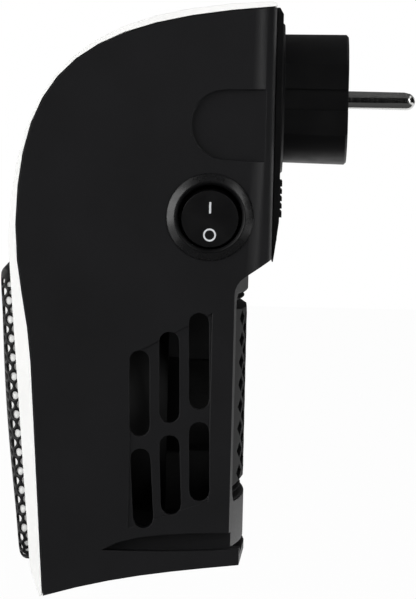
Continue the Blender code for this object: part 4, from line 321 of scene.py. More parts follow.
def polished_switch_nylon():
    """Black polyamide of the switch's ring, moulded in a polished tool: a soft shine."""
    finish, tree, shader, place = new_finish("polished_black_polyamide", "0e0e0f", 0.27, 1.53)
    # A trace of texture under the polish takes a fifth off the mirror part of the gloss.
    shader.inputs["Specular IOR Level"].default_value = 0.4
    # Finger marks of about 2 mm dull the shine in places.
    marks = add_node(tree, "ShaderNodeTexNoise", {"Scale": 1 / (2.2 * MM), "Detail": 3}, {"Vector": place})
    gloss = add_node(
        tree,
        "ShaderNodeMapRange",
        {"From Min": 0.35, "From Max": 0.7, "To Min": 0.24, "To Max": 0.34},
        {"Value": marks.outputs["Fac"]},
    )
    tree.links.new(gloss.outputs["Result"], shader.inputs["Roughness"])
    shade = add_node(
        tree,
        "ShaderNodeMix",
        {"A": linear("0c0c0d"), "B": linear("121213")},
        {"Factor": marks.outputs["Fac"]},
        data_type="RGBA",
    )
    tree.links.new(shade.outputs["Result"], shader.inputs["Base Color"])
    # A faint unevenness of the tool's polish, about 0.8 mm from crest to crest.
    polish = add_node(tree, "ShaderNodeTexNoise", {"Scale": 1 / (0.8 * MM), "Detail": 1}, {"Vector": place})
    edge = add_node(tree, "ShaderNodeBevel", {"Radius": 0.25 * MM}, samples=4)
    surface = add_node(
        tree,
        "ShaderNodeBump",
        {"Strength": 0.2, "Distance": 0.01 * MM},
        {"Height": polish.outputs["Fac"], "Normal": edge.outputs["Normal"]},
    )
    tree.links.new(surface.outputs["Normal"], shader.inputs["Normal"])
    return finish


def satin_white_abs():
    """White ABS of the shell and keys: clean, faintly warm in the shade, with a satin skin."""
    finish, tree, shader, place = new_finish("satin_white_abs", "f0f0ee", 0.36, 1.54)
    # Flow of the melt shows as clouds of about 15 mm, barely darker.
    flow = add_node(tree, "ShaderNodeTexNoise", {"Scale": 1 / (15 * MM), "Detail": 2}, {"Vector": place})
    shade = add_node(
        tree,
        "ShaderNodeMix",
        {"A": linear("ececea"), "B": linear("f2f2f1")},
        {"Factor": flow.outputs["Fac"]},
        data_type="RGBA",
    )
    tree.links.new(shade.outputs["Result"], shader.inputs["Base Color"])
    # A fine tool texture of about 0.15 mm, drawn at 0.4 mm.
    grain = add_node(tree, "ShaderNodeTexNoise", {"Scale": 1 / (0.4 * MM), "Detail": 1}, {"Vector": place})
    gloss = add_node(
        tree,
        "ShaderNodeMapRange",
        {"From Min": 0.3, "From Max": 0.7, "To Min": 0.32, "To Max": 0.42},
        {"Value": grain.outputs["Fac"]},
    )
    tree.links.new(gloss.outputs["Result"], shader.inputs["Roughness"])
    edge = add_node(tree, "ShaderNodeBevel", {"Radius": 0.3 * MM}, samples=4)
    surface = add_node(
        tree,
        "ShaderNodeBump",
        {"Strength": 0.3, "Distance": 0.012 * MM},
        {"Height": grain.outputs["Fac"], "Normal": edge.outputs["Normal"]},
    )
    tree.links.new(surface.outputs["Normal"], shader.inputs["Normal"])
    return finish


def lacquered_grille_steel():
    """Punched steel sheet under black stoved lacquer: a thin glossy skin that pulls off the hole edges."""
    finish, tree, shader, place = new_finish("black_lacquered_steel_sheet", "0d0d0e", 0.42, 1.5)
    shader.inputs["Specular IOR Level"].default_value = 0.2
    shader.inputs["Coat Weight"].default_value = 0.08
    shader.inputs["Coat Roughness"].default_value = 0.25
    # Orange peel of sprayed lacquer, about 0.6 mm.
    peel = add_node(tree, "ShaderNodeTexNoise", {"Scale": 1 / (0.6 * MM), "Detail": 1}, {"Vector": place})
    gloss = add_node(
        tree,
        "ShaderNodeMapRange",
        {"From Min": 0.3, "From Max": 0.7, "To Min": 0.36, "To Max": 0.48},
        {"Value": peel.outputs["Fac"]},
    )
    tree.links.new(gloss.outputs["Result"], shader.inputs["Roughness"])
    # Dust settles in patches of about 9 mm and greys the lacquer a little.
    dust = add_node(tree, "ShaderNodeTexNoise", {"Scale": 1 / (9 * MM), "Detail": 4}, {"Vector": place})
    shade = add_node(
        tree,
        "ShaderNodeMix",
        {"A": linear("0a0a0b"), "B": linear("121213")},
        {"Factor": dust.outputs["Fac"]},
        data_type="RGBA",
    )
    tree.links.new(shade.outputs["Result"], shader.inputs["Base Color"])
    surface = add_node(
        tree, "ShaderNodeBump", {"Strength": 0.3, "Distance": 0.02 * MM}, {"Height": peel.outputs["Fac"]}
    )
    tree.links.new(surface.outputs["Normal"], shader.inputs["Normal"])
    return finish


def bright_nickel_pin():
    """Turned brass pins under bright nickel: a mirror drawn out by fine lines round the pin."""
    finish, tree, shader, place = new_finish("bright_nickel_plate", "d6d6d4", 0.16, metallic=1.0)
    # Turning marks run round the pin, 0.12 mm apart; drawn 0.3 mm apart.
    lines = add_node(
        tree,
        "ShaderNodeMapping",
        {"Scale": (1 / (9 * MM), 1 / (0.3 * MM), 1 / (9 * MM))},
        {"Vector": place},
    )
    turning = add_node(
        tree,
        "ShaderNodeTexNoise",
        {"Scale": 1, "Detail": 2},
        {"Vector": lines.outputs["Vector"]},
    )
    gloss = add_node(
        tree,
        "ShaderNodeMapRange",
        {"From Min": 0.3, "From Max": 0.7, "To Min": 0.12, "To Max": 0.24},
        {"Value": turning.outputs["Fac"]},
    )
    tree.links.new(gloss.outputs["Result"], shader.inputs["Roughness"])
    # Plugging in rubs long scratches, 14 mm by 0.25 mm, along the pin.
    along = add_node(
        tree,
        "ShaderNodeMapping",
        {"Scale": (1 / (0.25 * MM), 1 / (14 * MM), 1 / (0.25 * MM))},
        {"Vector": place},
    )
    rubbed = add_node(
        tree,
        "ShaderNodeTexNoise",
        {"Scale": 1, "Detail": 1},
        {"Vector": along.outputs["Vector"]},
    )
    shade = add_node(
        tree,
        "ShaderNodeMix",
        {"A": linear("c6c6c4"), "B": linear("e0e0de")},
        {"Factor": rubbed.outputs["Fac"]},
        data_type="RGBA",
    )
    tree.links.new(shade.outputs["Result"], shader.inputs["Base Color"])
    surface = add_node(
        tree, "ShaderNodeBump", {"Strength": 0.15, "Distance": 0.005 * MM}, {"Height": rubbed.outputs["Fac"]}
    )
    tree.links.new(surface.outputs["Normal"], shader.inputs["Normal"])
    return finish


def rolled_brass_strip():
    """Terminals stamped from rolled brass strip: yellow metal, lightly tarnished, with roll lines."""
    finish, tree, shader, place = new_finish("rolled_brass_strip", "c8a45c", 0.3, metallic=1.0)
    # Roll lines 0.1 mm apart, drawn at 0.35 mm, running across the width of the heater.
    rolling = add_node(
        tree,
        "ShaderNodeMapping",
        {"Scale": (1 / (12 * MM), 1 / (0.35 * MM), 1 / (0.35 * MM))},
        {"Vector": place},
    )
    lines = add_node(
        tree,
        "ShaderNodeTexNoise",
        {"Scale": 1, "Detail": 1},
        {"Vector": rolling.outputs["Vector"]},
    )
    gloss = add_node(
        tree,
        "ShaderNodeMapRange",
        {"From Min": 0.3, "From Max": 0.7, "To Min": 0.24, "To Max": 0.42},
        {"Value": lines.outputs["Fac"]},
    )
    tree.links.new(gloss.outputs["Result"], shader.inputs["Roughness"])
    # Tarnish spreads in stains of about 3 mm.
    tarnish = add_node(tree, "ShaderNodeTexNoise", {"Scale": 1 / (3 * MM), "Detail": 3}, {"Vector": place})
    shade = add_node(
        tree,
        "ShaderNodeMix",
        {"A": linear("a98343"), "B": linear("d4b26c")},
        {"Factor": tarnish.outputs["Fac"]},
        data_type="RGBA",
    )
    tree.links.new(shade.outputs["Result"], shader.inputs["Base Color"])
    return finish


def zinc_plated_steel():
    """Screws and the motor's can in zinc-plated steel: bluish grey, cloudy, softly shining."""
    finish, tree, shader, place = new_finish("zinc_plated_steel", "b6babf", 0.4, metallic=1.0)
    # Barrel plating leaves cloudy spots of about 1.2 mm.
    clouds = add_node(
        tree,
        "ShaderNodeTexVoronoi",
        {"Scale": 1 / (1.2 * MM)},
        {"Vector": place},
        feature="SMOOTH_F1",
    )
    shade = add_node(
        tree,
        "ShaderNodeMix",
        {"A": linear("a7abb1"), "B": linear("c6c9cc")},
        {"Factor": clouds.outputs["Distance"]},
        data_type="RGBA",
    )
    tree.links.new(shade.outputs["Result"], shader.inputs["Base Color"])
    gloss = add_node(
        tree,
        "ShaderNodeMapRange",
        {"From Min": 0.1, "From Max": 0.8, "To Min": 0.32, "To Max": 0.5},
        {"Value": clouds.outputs["Distance"]},
    )
    tree.links.new(gloss.outputs["Result"], shader.inputs["Roughness"])
    return finish


def rolled_aluminium():
    """Bars and fins of rolled aluminium: pale, with soft lines along the roll."""
    finish, tree, shader, place = new_finish("rolled_aluminium", "d2d4d6", 0.34, metallic=1.0)
    # Roll lines 0.1 mm apart, drawn at 0.4 mm, along the width.
    rolling = add_node(
        tree,
        "ShaderNodeMapping",
        {"Scale": (1 / (25 * MM), 1 / (0.4 * MM), 1 / (0.4 * MM))},
        {"Vector": place},
    )
    lines = add_node(
        tree,
        "ShaderNodeTexNoise",
        {"Scale": 1, "Detail": 2},
        {"Vector": rolling.outputs["Vector"]},
    )
    gloss = add_node(
        tree,
        "ShaderNodeMapRange",
        {"From Min": 0.3, "From Max": 0.7, "To Min": 0.28, "To Max": 0.45},
        {"Value": lines.outputs["Fac"]},
    )
    tree.links.new(gloss.outputs["Result"], shader.inputs["Roughness"])
    shade = add_node(
        tree,
        "ShaderNodeMix",
        {"A": linear("c3c5c8"), "B": linear("dddfe0")},
        {"Factor": lines.outputs["Fac"]},
        data_type="RGBA",
    )
    tree.links.new(shade.outputs["Result"], shader.inputs["Base Color"])
    return finish


def glass_filled_nylon():
    """Grey glass-filled polyamide of fan, end cap and retainer: matt, with pale fibre streaks."""
    finish, tree, shader, place = new_finish("glass_filled_grey_polyamide", "4d5053", 0.55, 1.53)
    # Fibres of about 0.3 mm lie along the flow; drawn as streaks 2.5 mm by 0.4 mm.
    flow = add_node(
        tree,
        "ShaderNodeMapping",
        {"Scale": (1 / (2.5 * MM), 1 / (0.4 * MM), 1 / (0.4 * MM))},
        {"Vector": place},
    )
    fibres = add_node(
        tree,
        "ShaderNodeTexNoise",
        {"Scale": 1, "Detail": 2},
        {"Vector": flow.outputs["Vector"]},
    )
    shade = add_node(
        tree,
        "ShaderNodeMix",
        {"A": linear("424548"), "B": linear("5d6063")},
        {"Factor": fibres.outputs["Fac"]},
        data_type="RGBA",
    )
    tree.links.new(shade.outputs["Result"], shader.inputs["Base Color"])
    gloss = add_node(
        tree,
        "ShaderNodeMapRange",
        {"From Min": 0.3, "From Max": 0.7, "To Min": 0.48, "To Max": 0.62},
        {"Value": fibres.outputs["Fac"]},
    )
    tree.links.new(gloss.outputs["Result"], shader.inputs["Roughness"])
    return finish


def duct_pbt():
    """Black glass-filled PBT of the fan's duct: matt black with a dry, fibrous skin."""
    finish, tree, shader, place = new_finish("glass_filled_black_pbt", "0f0f10", 0.6, 1.55)
    # Fibre bundles show as dry specks of about 0.5 mm.
    specks = add_node(tree, "ShaderNodeTexNoise", {"Scale": 1 / (0.5 * MM), "Detail": 3}, {"Vector": place})
    shade = add_node(
        tree,
        "ShaderNodeMix",
        {"A": linear("0b0b0c"), "B": linear("141415")},
        {"Factor": specks.outputs["Fac"]},
        data_type="RGBA",
    )
    tree.links.new(shade.outputs["Result"], shader.inputs["Base Color"])
    surface = add_node(
        tree, "ShaderNodeBump", {"Strength": 0.3, "Distance": 0.02 * MM}, {"Height": specks.outputs["Fac"]}
    )
    tree.links.new(surface.outputs["Normal"], shader.inputs["Normal"])
    return finish


def solder_masked_board():
    """Glass-epoxy boards under green solder mask: copper tracks show as paler green lines."""
    finish, tree, shader, place = new_finish("green_solder_mask", "1f5236", 0.32, 1.5)
    shader.inputs["Coat Weight"].default_value = 0.4
    shader.inputs["Coat Roughness"].default_value = 0.12
    # Tracks 2.5 mm apart; the brick joints stand for the gaps between them.
    turn = add_node(tree, "ShaderNodeMapping", {"Rotation": (math.pi / 2, 0, 0)}, {"Vector": place})
    tracks = add_node(
        tree,
        "ShaderNodeTexBrick",
        {
            "Color1": linear("2c6b47"),
            "Color2": linear("276240"),
            "Mortar": linear("17422b"),
            "Scale": 1 / (5 * MM),
            "Mortar Size": 0.05,
            "Brick Width": 1.8,
            "Row Height": 0.5,
        },
        {"Vector": turn.outputs["Vector"]},
    )
    tree.links.new(tracks.outputs["Color"], shader.inputs["Base Color"])
    surface = add_node(
        tree, "ShaderNodeBump", {"Strength": 0.3, "Distance": 0.035 * MM}, {"Height": tracks.outputs["Fac"]}
    )
    surface.invert = True
    tree.links.new(surface.outputs["Normal"], shader.inputs["Normal"])
    return finish


def relay_case():
    """Blue PBT case of the relay: smooth and evenly coloured, with a soft shine."""
    finish, tree, shader, place = new_finish("moulded_blue_pbt", "2b5c9f", 0.36, 1.55)
    # A gate mark and flow clouds of about 5 mm.
    flow = add_node(tree, "ShaderNodeTexNoise", {"Scale": 1 / (5 * MM), "Detail": 2}, {"Vector": place})
    shade = add_node(
        tree,
        "ShaderNodeMix",
        {"A": linear("265491"), "B": linear("3064aa")},
        {"Factor": flow.outputs["Fac"]},
        data_type="RGBA",
    )
    tree.links.new(shade.outputs["Result"], shader.inputs["Base Color"])
    return finish


def component_epoxy():
    """Dark grey moulded epoxy of transformer, capacitor, display module and tact switches."""
    finish, tree, shader, place = new_finish("moulded_grey_epoxy", "55585c", 0.5, 1.55)
    # Silica filler shows as specks of about 0.3 mm.
    filler = add_node(tree, "ShaderNodeTexNoise", {"Scale": 1 / (0.3 * MM), "Detail": 2}, {"Vector": place})
    shade = add_node(
        tree,
        "ShaderNodeMix",
        {"A": linear("4a4d51"), "B": linear("62656a")},
        {"Factor": filler.outputs["Fac"]},
        data_type="RGBA",
    )
    tree.links.new(shade.outputs["Result"], shader.inputs["Base Color"])
    return finish


def smoked_acrylic():
    """Smoked acrylic window of the display: nearly black, polished, with faint wipe marks."""
    finish, tree, shader, place = new_finish("smoked_acrylic", "0a0a0c", 0.07, 1.49)
    # Wiping leaves faint smears, about 7 mm by 1.5 mm.
    wiping = add_node(
        tree,
        "ShaderNodeMapping",
        {"Scale": (1 / (7 * MM), 1 / (7 * MM), 1 / (1.5 * MM))},
        {"Vector": place},
    )
    smears = add_node(
        tree,
        "ShaderNodeTexNoise",
        {"Scale": 1, "Detail": 3},
        {"Vector": wiping.outputs["Vector"]},
    )
    gloss = add_node(
        tree,
        "ShaderNodeMapRange",
        {"From Min": 0.35, "From Max": 0.7, "To Min": 0.04, "To Max": 0.12},
        {"Value": smears.outputs["Fac"]},
    )
    tree.links.new(gloss.outputs["Result"], shader.inputs["Roughness"])
    return finish


def heat_proof_moulding():
    """Phenolic heater frame: matt tan moulding, mottled by its mineral filler."""
    finish, tree, shader, place = new_finish("mineral_filled_phenolic", "b9ad93", 0.7, 1.6)
    # Mineral filler mottles the surface over about 1.5 mm.
    filler = add_node(tree, "ShaderNodeTexNoise", {"Scale": 1 / (1.5 * MM), "Detail": 4}, {"Vector": place})
    shade = add_node(
        tree,
        "ShaderNodeMix",
        {"A": linear("a2967b"), "B": linear("cdc2a9")},
        {"Factor": filler.outputs["Fac"]},
        data_type="RGBA",
    )
    tree.links.new(shade.outputs["Result"], shader.inputs["Base Color"])
    surface = add_node(
        tree, "ShaderNodeBump", {"Strength": 0.3, "Distance": 0.03 * MM}, {"Height": filler.outputs["Fac"]}
    )
    tree.links.new(surface.outputs["Normal"], shader.inputs["Normal"])
    return finish


def sponge_rubber():
    """Black sponge rubber of the motor's sleeve: dull, full of open cells."""
    finish, tree, shader, place = new_finish("black_sponge_rubber", "101010", 0.85, 1.5)
    # Open cells of about 0.3 mm, drawn at 0.5 mm.
    cells = add_node(tree, "ShaderNodeTexVoronoi", {"Scale": 1 / (0.5 * MM)}, {"Vector": place})
    shade = add_node(
        tree,
        "ShaderNodeMix",
        {"A": linear("080808"), "B": linear("151515")},
        {"Factor": cells.outputs["Distance"]},
        data_type="RGBA",
    )
    tree.links.new(shade.outputs["Result"], shader.inputs["Base Color"])
    surface = add_node(
        tree,
        "ShaderNodeBump",
        {"Strength": 0.6, "Distance": 0.08 * MM},
        {"Height": cells.outputs["Distance"]},
    )
    tree.links.new(surface.outputs["Normal"], shader.inputs["Normal"])
    return finish


def pad_printed_white():
    """White pad-printing ink on the rocker: matt, a little thin where the pad lifted."""
    finish, tree, shader, place = new_finish("pad_printed_white_ink", "c4c6c9", 0.55, 1.48)
    # Pinholes and thin spots of about 0.25 mm.
    thin = add_node(tree, "ShaderNodeTexNoise", {"Scale": 1 / (0.25 * MM), "Detail": 2}, {"Vector": place})
    shade = add_node(
        tree,
        "ShaderNodeMix",
        {"A": linear("b6b8bb"), "B": linear("cfd1d4")},
        {"Factor": thin.outputs["Fac"]},
        data_type="RGBA",
    )
    tree.links.new(shade.outputs["Result"], shader.inputs["Base Color"])
    return finish


def studio_paper():
    """Seamless paper floor: shown as white, with a faint trace of the object's shadow left in it."""
    paper = bpy.data.materials.new("studio_paper")
    paper.use_nodes = True
    tree = paper.node_tree
    shader = tree.nodes["Principled BSDF"]
    shader.inputs["Base Color"].default_value = linear("f4f4f4")
    shader.inputs["Roughness"].default_value = 0.9
    shader.inputs["Specular IOR Level"].default_value = 0.0
    white = add_node(tree, "ShaderNodeEmission", {"Color": (1, 1, 1, 1), "Strength": 1.0})
    ray = add_node(tree, "ShaderNodeLightPath")
    seen = add_node(
        tree,
        "ShaderNodeMath",
        links={0: ray.outputs["Is Camera Ray"], 1: ray.outputs["Is Glossy Ray"]},
        operation="MAXIMUM",
    )
    seen_too = add_node(
        tree,
        "ShaderNodeMath",
        links={0: seen.outputs["Value"], 1: ray.outputs["Is Transmission Ray"]},
        operation="MAXIMUM",
    )
    share = add_node(
        tree,
        "ShaderNodeMath",
        {1: PAPER_WHITE_SHARE},
        {0: seen_too.outputs["Value"]},
        operation="MULTIPLY",
    )
    mixed = add_node(tree, "ShaderNodeMixShader")
    tree.links.new(share.outputs["Value"], mixed.inputs["Fac"])
    tree.links.new(shader.outputs["BSDF"], mixed.inputs[1])
    tree.links.new(white.outputs["Emission"], mixed.inputs[2])
    # From below the paper isn't there, so that the underside of the heater can be looked at.
    side = add_node(tree, "ShaderNodeNewGeometry")
    clear = add_node(tree, "ShaderNodeBsdfTransparent")
    one_sided = add_node(tree, "ShaderNodeMixShader", links={0: side.outputs["Backfacing"]})
    tree.links.new(mixed.outputs["Shader"], one_sided.inputs[1])
    tree.links.new(clear.outputs["BSDF"], one_sided.inputs[2])
    tree.links.new(one_sided.outputs["Shader"], tree.nodes["Material Output"].inputs["Surface"])
    return paper


# ------------------------------------------------------------------ pieces


def new_piece(name, work, finish, body, smooth=False):
    """A piece from its mesh, finished and riding on a body of the frame."""
    mesh = bpy.data.meshes.new(name)
    bmesh.ops.recalc_face_normals(work, faces=work.faces)
    for face in work.faces:
        face.smooth = smooth
    work.to_mesh(mesh)
    work.free()
    mesh.materials.append(finish)
    piece = bpy.data.objects.new(name, mesh)
    bpy.context.scene.collection.objects.link(piece)
    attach(piece, body)
    return piece


def turned_ring(work, place, axis, spokes, outline):
    """A ring turned round an axis: its outline is given as distances from the axis and along it."""
    rings = []
    for out in spokes:
        rings.append([work.verts.new(place + out * r + axis * along) for r, along in outline])
    for i, ring in enumerate(rings):
        after = rings[(i + 1) % len(rings)]
        for j in range(len(ring)):
            next_j = (j + 1) % len(ring)
            work.faces.new((ring[j], ring[next_j], after[next_j], after[j]))


def face_turn():
    """From the grille's own plane to the frame of the part: local Z comes out into the room."""
    reach = CHEEK_REACH + (CHEEK_HEIGHT - GRILLE_HEIGHT) * math.tan(FRONT_LEAN)
    return Matrix.Translation((0, reach, GRILLE_HEIGHT)) @ Matrix.Rotation(math.pi / 2 + FRONT_LEAN, 4, "X")


def blank_spoke(point):
    """The nearest point of the grille's straight core, and the way out from it."""
    corner = GRILLE_CORNER - GRILLE_BEND
    width = GRILLE_HALF_WIDTH - GRILLE_BEND - corner
    height = GRILLE_HALF_HEIGHT - GRILLE_BEND - corner
    nearest = Vector((max(-width, min(width, point.x)), max(-height, min(height, point.y))))
    return nearest, Vector((point.x, point.y)) - nearest, corner


def formed(point):
    """Where a point of the grille's flat blank lies once the sheet is drawn over its form."""
    nearest, spoke, corner = blank_spoke(point)
    bend_length = GRILLE_BEND * math.pi / 2
    full = bend_length + GRILLE_PROUD - GRILLE_BEND + GRILLE_WALL_INSIDE
    beyond = min(full, max(0, spoke.length - corner))
    outwards = spoke.normalized() if spoke.length else spoke
    angle = min(beyond, bend_length) / GRILLE_BEND
    drop = GRILLE_BEND * (1 - math.cos(angle)) + max(0, beyond - bend_length)
    place = nearest + outwards * (min(spoke.length, corner) + GRILLE_BEND * math.sin(angle))
    across, along = place.x / GRILLE_HALF_WIDTH, place.y / GRILLE_HALF_HEIGHT
    dome = GRILLE_DOME * max(0, 1 - across**2) * max(0, 1 - along**2)
    return Vector((place.x, place.y, GRILLE_PROUD - drop + dome))


def grille_cell(work, centre, plain):
    """One hexagonal cell of the sheet with its round hole, or without it where the sheet is plain."""
    reaches = (HOLE_PITCH / 2, HOLE_PITCH / math.sqrt(3))
    outer, inner = [], []
    for i in range(CELL_SIDES):
        angle = 2 * math.pi * i / CELL_SIDES
        ray = Vector((math.cos(angle), math.sin(angle)))
        outer.append(work.verts.new((*(centre + ray * reaches[i % 2]), 0)))
        inner.append(work.verts.new((*(centre + ray * HOLE_DIAMETER / 2), 0)))
    for i in range(CELL_SIDES):
        after = (i + 1) % CELL_SIDES
        work.faces.new((outer[i], outer[after], inner[after], inner[i]))
    if plain:
        work.faces.new(inner)


def front_grille_mesh(finish):
    """The perforated sheet at its true pitch, drawn over the same form as the part's own grille."""
    work = bmesh.new()
    row_step = HOLE_PITCH * math.sin(math.pi / 3)
    margin = GRILLE_PROUD + GRILLE_BEND + GRILLE_WALL_INSIDE
    rows = int((GRILLE_HALF_HEIGHT + margin) / row_step)
    columns = int((GRILLE_HALF_WIDTH + margin) / HOLE_PITCH) + 1
    wall_end = GRILLE_BEND * math.pi / 2 + GRILLE_PROUD - GRILLE_BEND + GRILLE_WALL_INSIDE
    for row in range(-rows, rows + 1):
        shift = HOLE_PITCH / 2 * (row % 2)
        for column in range(-columns, columns + 1):
            centre = Vector((column * HOLE_PITCH + shift, row * row_step))
            _, spoke, corner = blank_spoke(centre)
            if spoke.length - corner < wall_end:
                grille_cell(work, centre, centre.y > GRILLE_HALF_HEIGHT - PLAIN_TOP)
    bmesh.ops.remove_doubles(work, verts=work.verts, dist=CELL_MERGE)
    turn = face_turn()
    for vertex in work.verts:
        vertex.co = turn @ formed(vertex.co)
    bmesh.ops.dissolve_degenerate(work, edges=work.edges, dist=CELL_SLIVER)
    piece = new_piece("front_grille_mesh", work, finish, "housing", smooth=True)
    outwards = (turn.to_3x3() @ Vector((0, 0, 1))).dot(piece.data.polygons[0].normal)
    sheet = piece.modifiers.new("sheet", "SOLIDIFY")
    sheet.thickness = SHEET_THICKNESS
    sheet.offset = -1 if outwards > 0 else 1
    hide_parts("front_grille")
    return piece


def frame_lip(finish):
    """The white lip of the grille's frame: it follows the sheet's rounded wall from behind."""
    corner = GRILLE_CORNER - GRILLE_BEND
    width = GRILLE_HALF_WIDTH - GRILLE_BEND - corner
    height = GRILLE_HALF_HEIGHT - GRILLE_BEND - corner
    bend_length = GRILLE_BEND * math.pi / 2
    wall_end = bend_length + GRILLE_PROUD - GRILLE_BEND
    start = LIP_FROM * bend_length
    reaches = [start + (wall_end - start) * i / LIP_ROWS for i in range(LIP_ROWS + 1)]
    spokes = []
    for quarter, (across, along) in enumerate(((1, 1), (-1, 1), (-1, -1), (1, -1))):
        for i in range(LIP_CORNER_STEPS + 1):
            angle = math.pi / 2 * (quarter + i / LIP_CORNER_STEPS)
            nearest = Vector((across * width, along * height))
            spokes.append((nearest, Vector((math.cos(angle), math.sin(angle)))))
    work = bmesh.new()
    turn = face_turn()
    rings = []
    for nearest, outwards in spokes:
        ring = []
        for reach in reaches:
            angle = min(reach, bend_length) / GRILLE_BEND
            out = Vector((*(outwards * math.sin(angle)), math.cos(angle)))
            place = formed(nearest + outwards * (corner + reach)) - out * LIP_BEHIND
            ring.append(work.verts.new(turn @ place))
        rings.append(ring)
    for i, ring in enumerate(rings):
        after = rings[(i + 1) % len(rings)]
        for j in range(LIP_ROWS):
            work.faces.new((ring[j], ring[j + 1], after[j + 1], after[j]))
    piece = new_piece("grille_frame_lip", work, finish, "housing", smooth=True)
    sheet = piece.modifiers.new("thickness", "SOLIDIFY")
    sheet.thickness = LIP_THICKNESS
    sheet.offset = 0
    return piece


def fin_strip(index, finish):
    """One fin strip at its true fold pitch, in the box that the part's own strip holds."""
    node = f"heater_fins_{index}"
    low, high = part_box(node)
    folds = 2 * int((high.x - low.x - FIN_SHEET) / FIN_PITCH)
    step = (high.x - low.x - FIN_SHEET) / folds
    path = []
    for i in range(folds + 1):
        middle = low.x + FIN_SHEET / 2 + i * step
        height = low.z + FIN_SHEET / 2 if i % 2 else high.z - FIN_SHEET / 2
        reach = FIN_FLAT / 2 if 0 < i < folds else 0
        path += [(middle - reach, height), (middle + reach, height)] if reach else [(middle, height)]
    work = bmesh.new()
    front = [work.verts.new((x, low.y, z)) for x, z in path]
    rear = [work.verts.new((x, high.y, z)) for x, z in path]
    for i in range(len(path) - 1):
        work.faces.new((front[i], front[i + 1], rear[i + 1], rear[i]))
    piece = new_piece(f"heater_fin_strip_{index}", work, finish, "housing")
    sheet = piece.modifiers.new("sheet", "SOLIDIFY")
    sheet.thickness = FIN_SHEET
    sheet.offset = 0
    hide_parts(node)
    return piece


def motor_sleeve(finish):
    """The strip of foam round the motor: a tube with a soft round-over at both of its ends."""
    rounded = (SLEEVE_OUTSIDE - SLEEVE_INSIDE) / 2
    front, rear = SLEEVE_REACH
    section = [
        (SLEEVE_INSIDE, front),
        (SLEEVE_OUTSIDE - rounded, front),
        (SLEEVE_OUTSIDE, front + rounded),
        (SLEEVE_OUTSIDE, rear - rounded),
        (SLEEVE_OUTSIDE - rounded, rear),
        (SLEEVE_INSIDE, rear),
    ]
    angles = [2 * math.pi * i / SLEEVE_STEPS for i in range(SLEEVE_STEPS)]
    spokes = [Vector((math.cos(angle), 0, math.sin(angle))) for angle in angles]
    work = bmesh.new()
    turned_ring(work, SLEEVE_MIDDLE, Vector((0, 1, 0)), spokes, section)
    return new_piece("motor_sleeve", work, finish, "housing")


def switch_ring_slope(finish):
    """The slope inside the switch's ring, which leads down to the rocker and leaves it room to tip."""
    angles = [2 * math.pi * i / SLOPE_STEPS for i in range(SLOPE_STEPS)]
    spokes = [Vector((0, math.cos(angle), math.sin(angle))) for angle in angles]
    work = bmesh.new()
    turned_ring(work, SLOPE_PLACE, Vector((1, 0, 0)), spokes, SLOPE_OUTLINE)
    return new_piece("switch_ring_slope", work, finish, "housing", smooth=True)


def rocker_turn():
    """From the rocker's own axes to the frame of the part, at rest in the OFF position."""
    return Matrix.Translation(SWITCH_PIVOT) @ Matrix.Rotation(ROCKER_HALF_THROW, 4, "Y")


def rocker_face(height):
    """How far out the rocker's hollow face lies at a height from its middle."""
    return ROCKER_FACE + abs(height) * math.tan(ROCKER_HALF_THROW)


def printed_mark(name, loops, finish):
    """A mark of ink that follows the rocker's face: one closed outline, or a ring between two."""
    work = bmesh.new()
    turn = rocker_turn()
    layers = []
    for lift in (-INK_DEPTH, INK_PROUD):
        rings = []
        for loop in loops:
            points = [turn @ Vector((rocker_face(high) + lift, across, high)) for across, high in loop]
            rings.append([work.verts.new(point) for point in points])
        layers.append(rings)
    below, above = layers
    for low_ring, high_ring in zip(below, above):
        for i in range(len(low_ring)):
            after = (i + 1) % len(low_ring)
            work.faces.new((low_ring[i], low_ring[after], high_ring[after], high_ring[i]))
    for rings in (below, above):
        if len(rings) == 1:
            work.faces.new(rings[0])
            continue
        outer, inner = rings
        for i in range(len(outer)):
            after = (i + 1) % len(outer)
            work.faces.new((outer[i], outer[after], inner[after], inner[i]))
    return new_piece(name, work, finish, "rocker")


def switch_marks(finish):
    """The generic line and ring for on and off, printed on the two halves of the rocker."""
    half_width, half_height = ON_MARK_WIDTH / 2, ON_MARK_HEIGHT / 2
    nick = ON_MARK_WIDTH / 4
    corners = [
        (half_width - nick, half_height),
        (half_width, half_height - nick),
        (half_width, nick - half_height),
        (half_width - nick, -half_height),
        (nick - half_width, -half_height),
        (-half_width, nick - half_height),
        (-half_width, half_height - nick),
        (nick - half_width, half_height),
    ]
    printed_mark("switch_mark_on", [[(x, ON_MARK_RISE + z) for x, z in corners]], finish)
    rings = []
    for radius in (OFF_MARK_RADIUS, OFF_MARK_RADIUS - OFF_MARK_STROKE):
        angles = [2 * math.pi * i / OFF_MARK_STEPS for i in range(OFF_MARK_STEPS)]
        rings.append([(radius * math.cos(a), OFF_MARK_RISE + radius * math.sin(a)) for a in angles])
    printed_mark("switch_mark_off", rings, finish)


# --------------------------------------------------- form shown on nodes


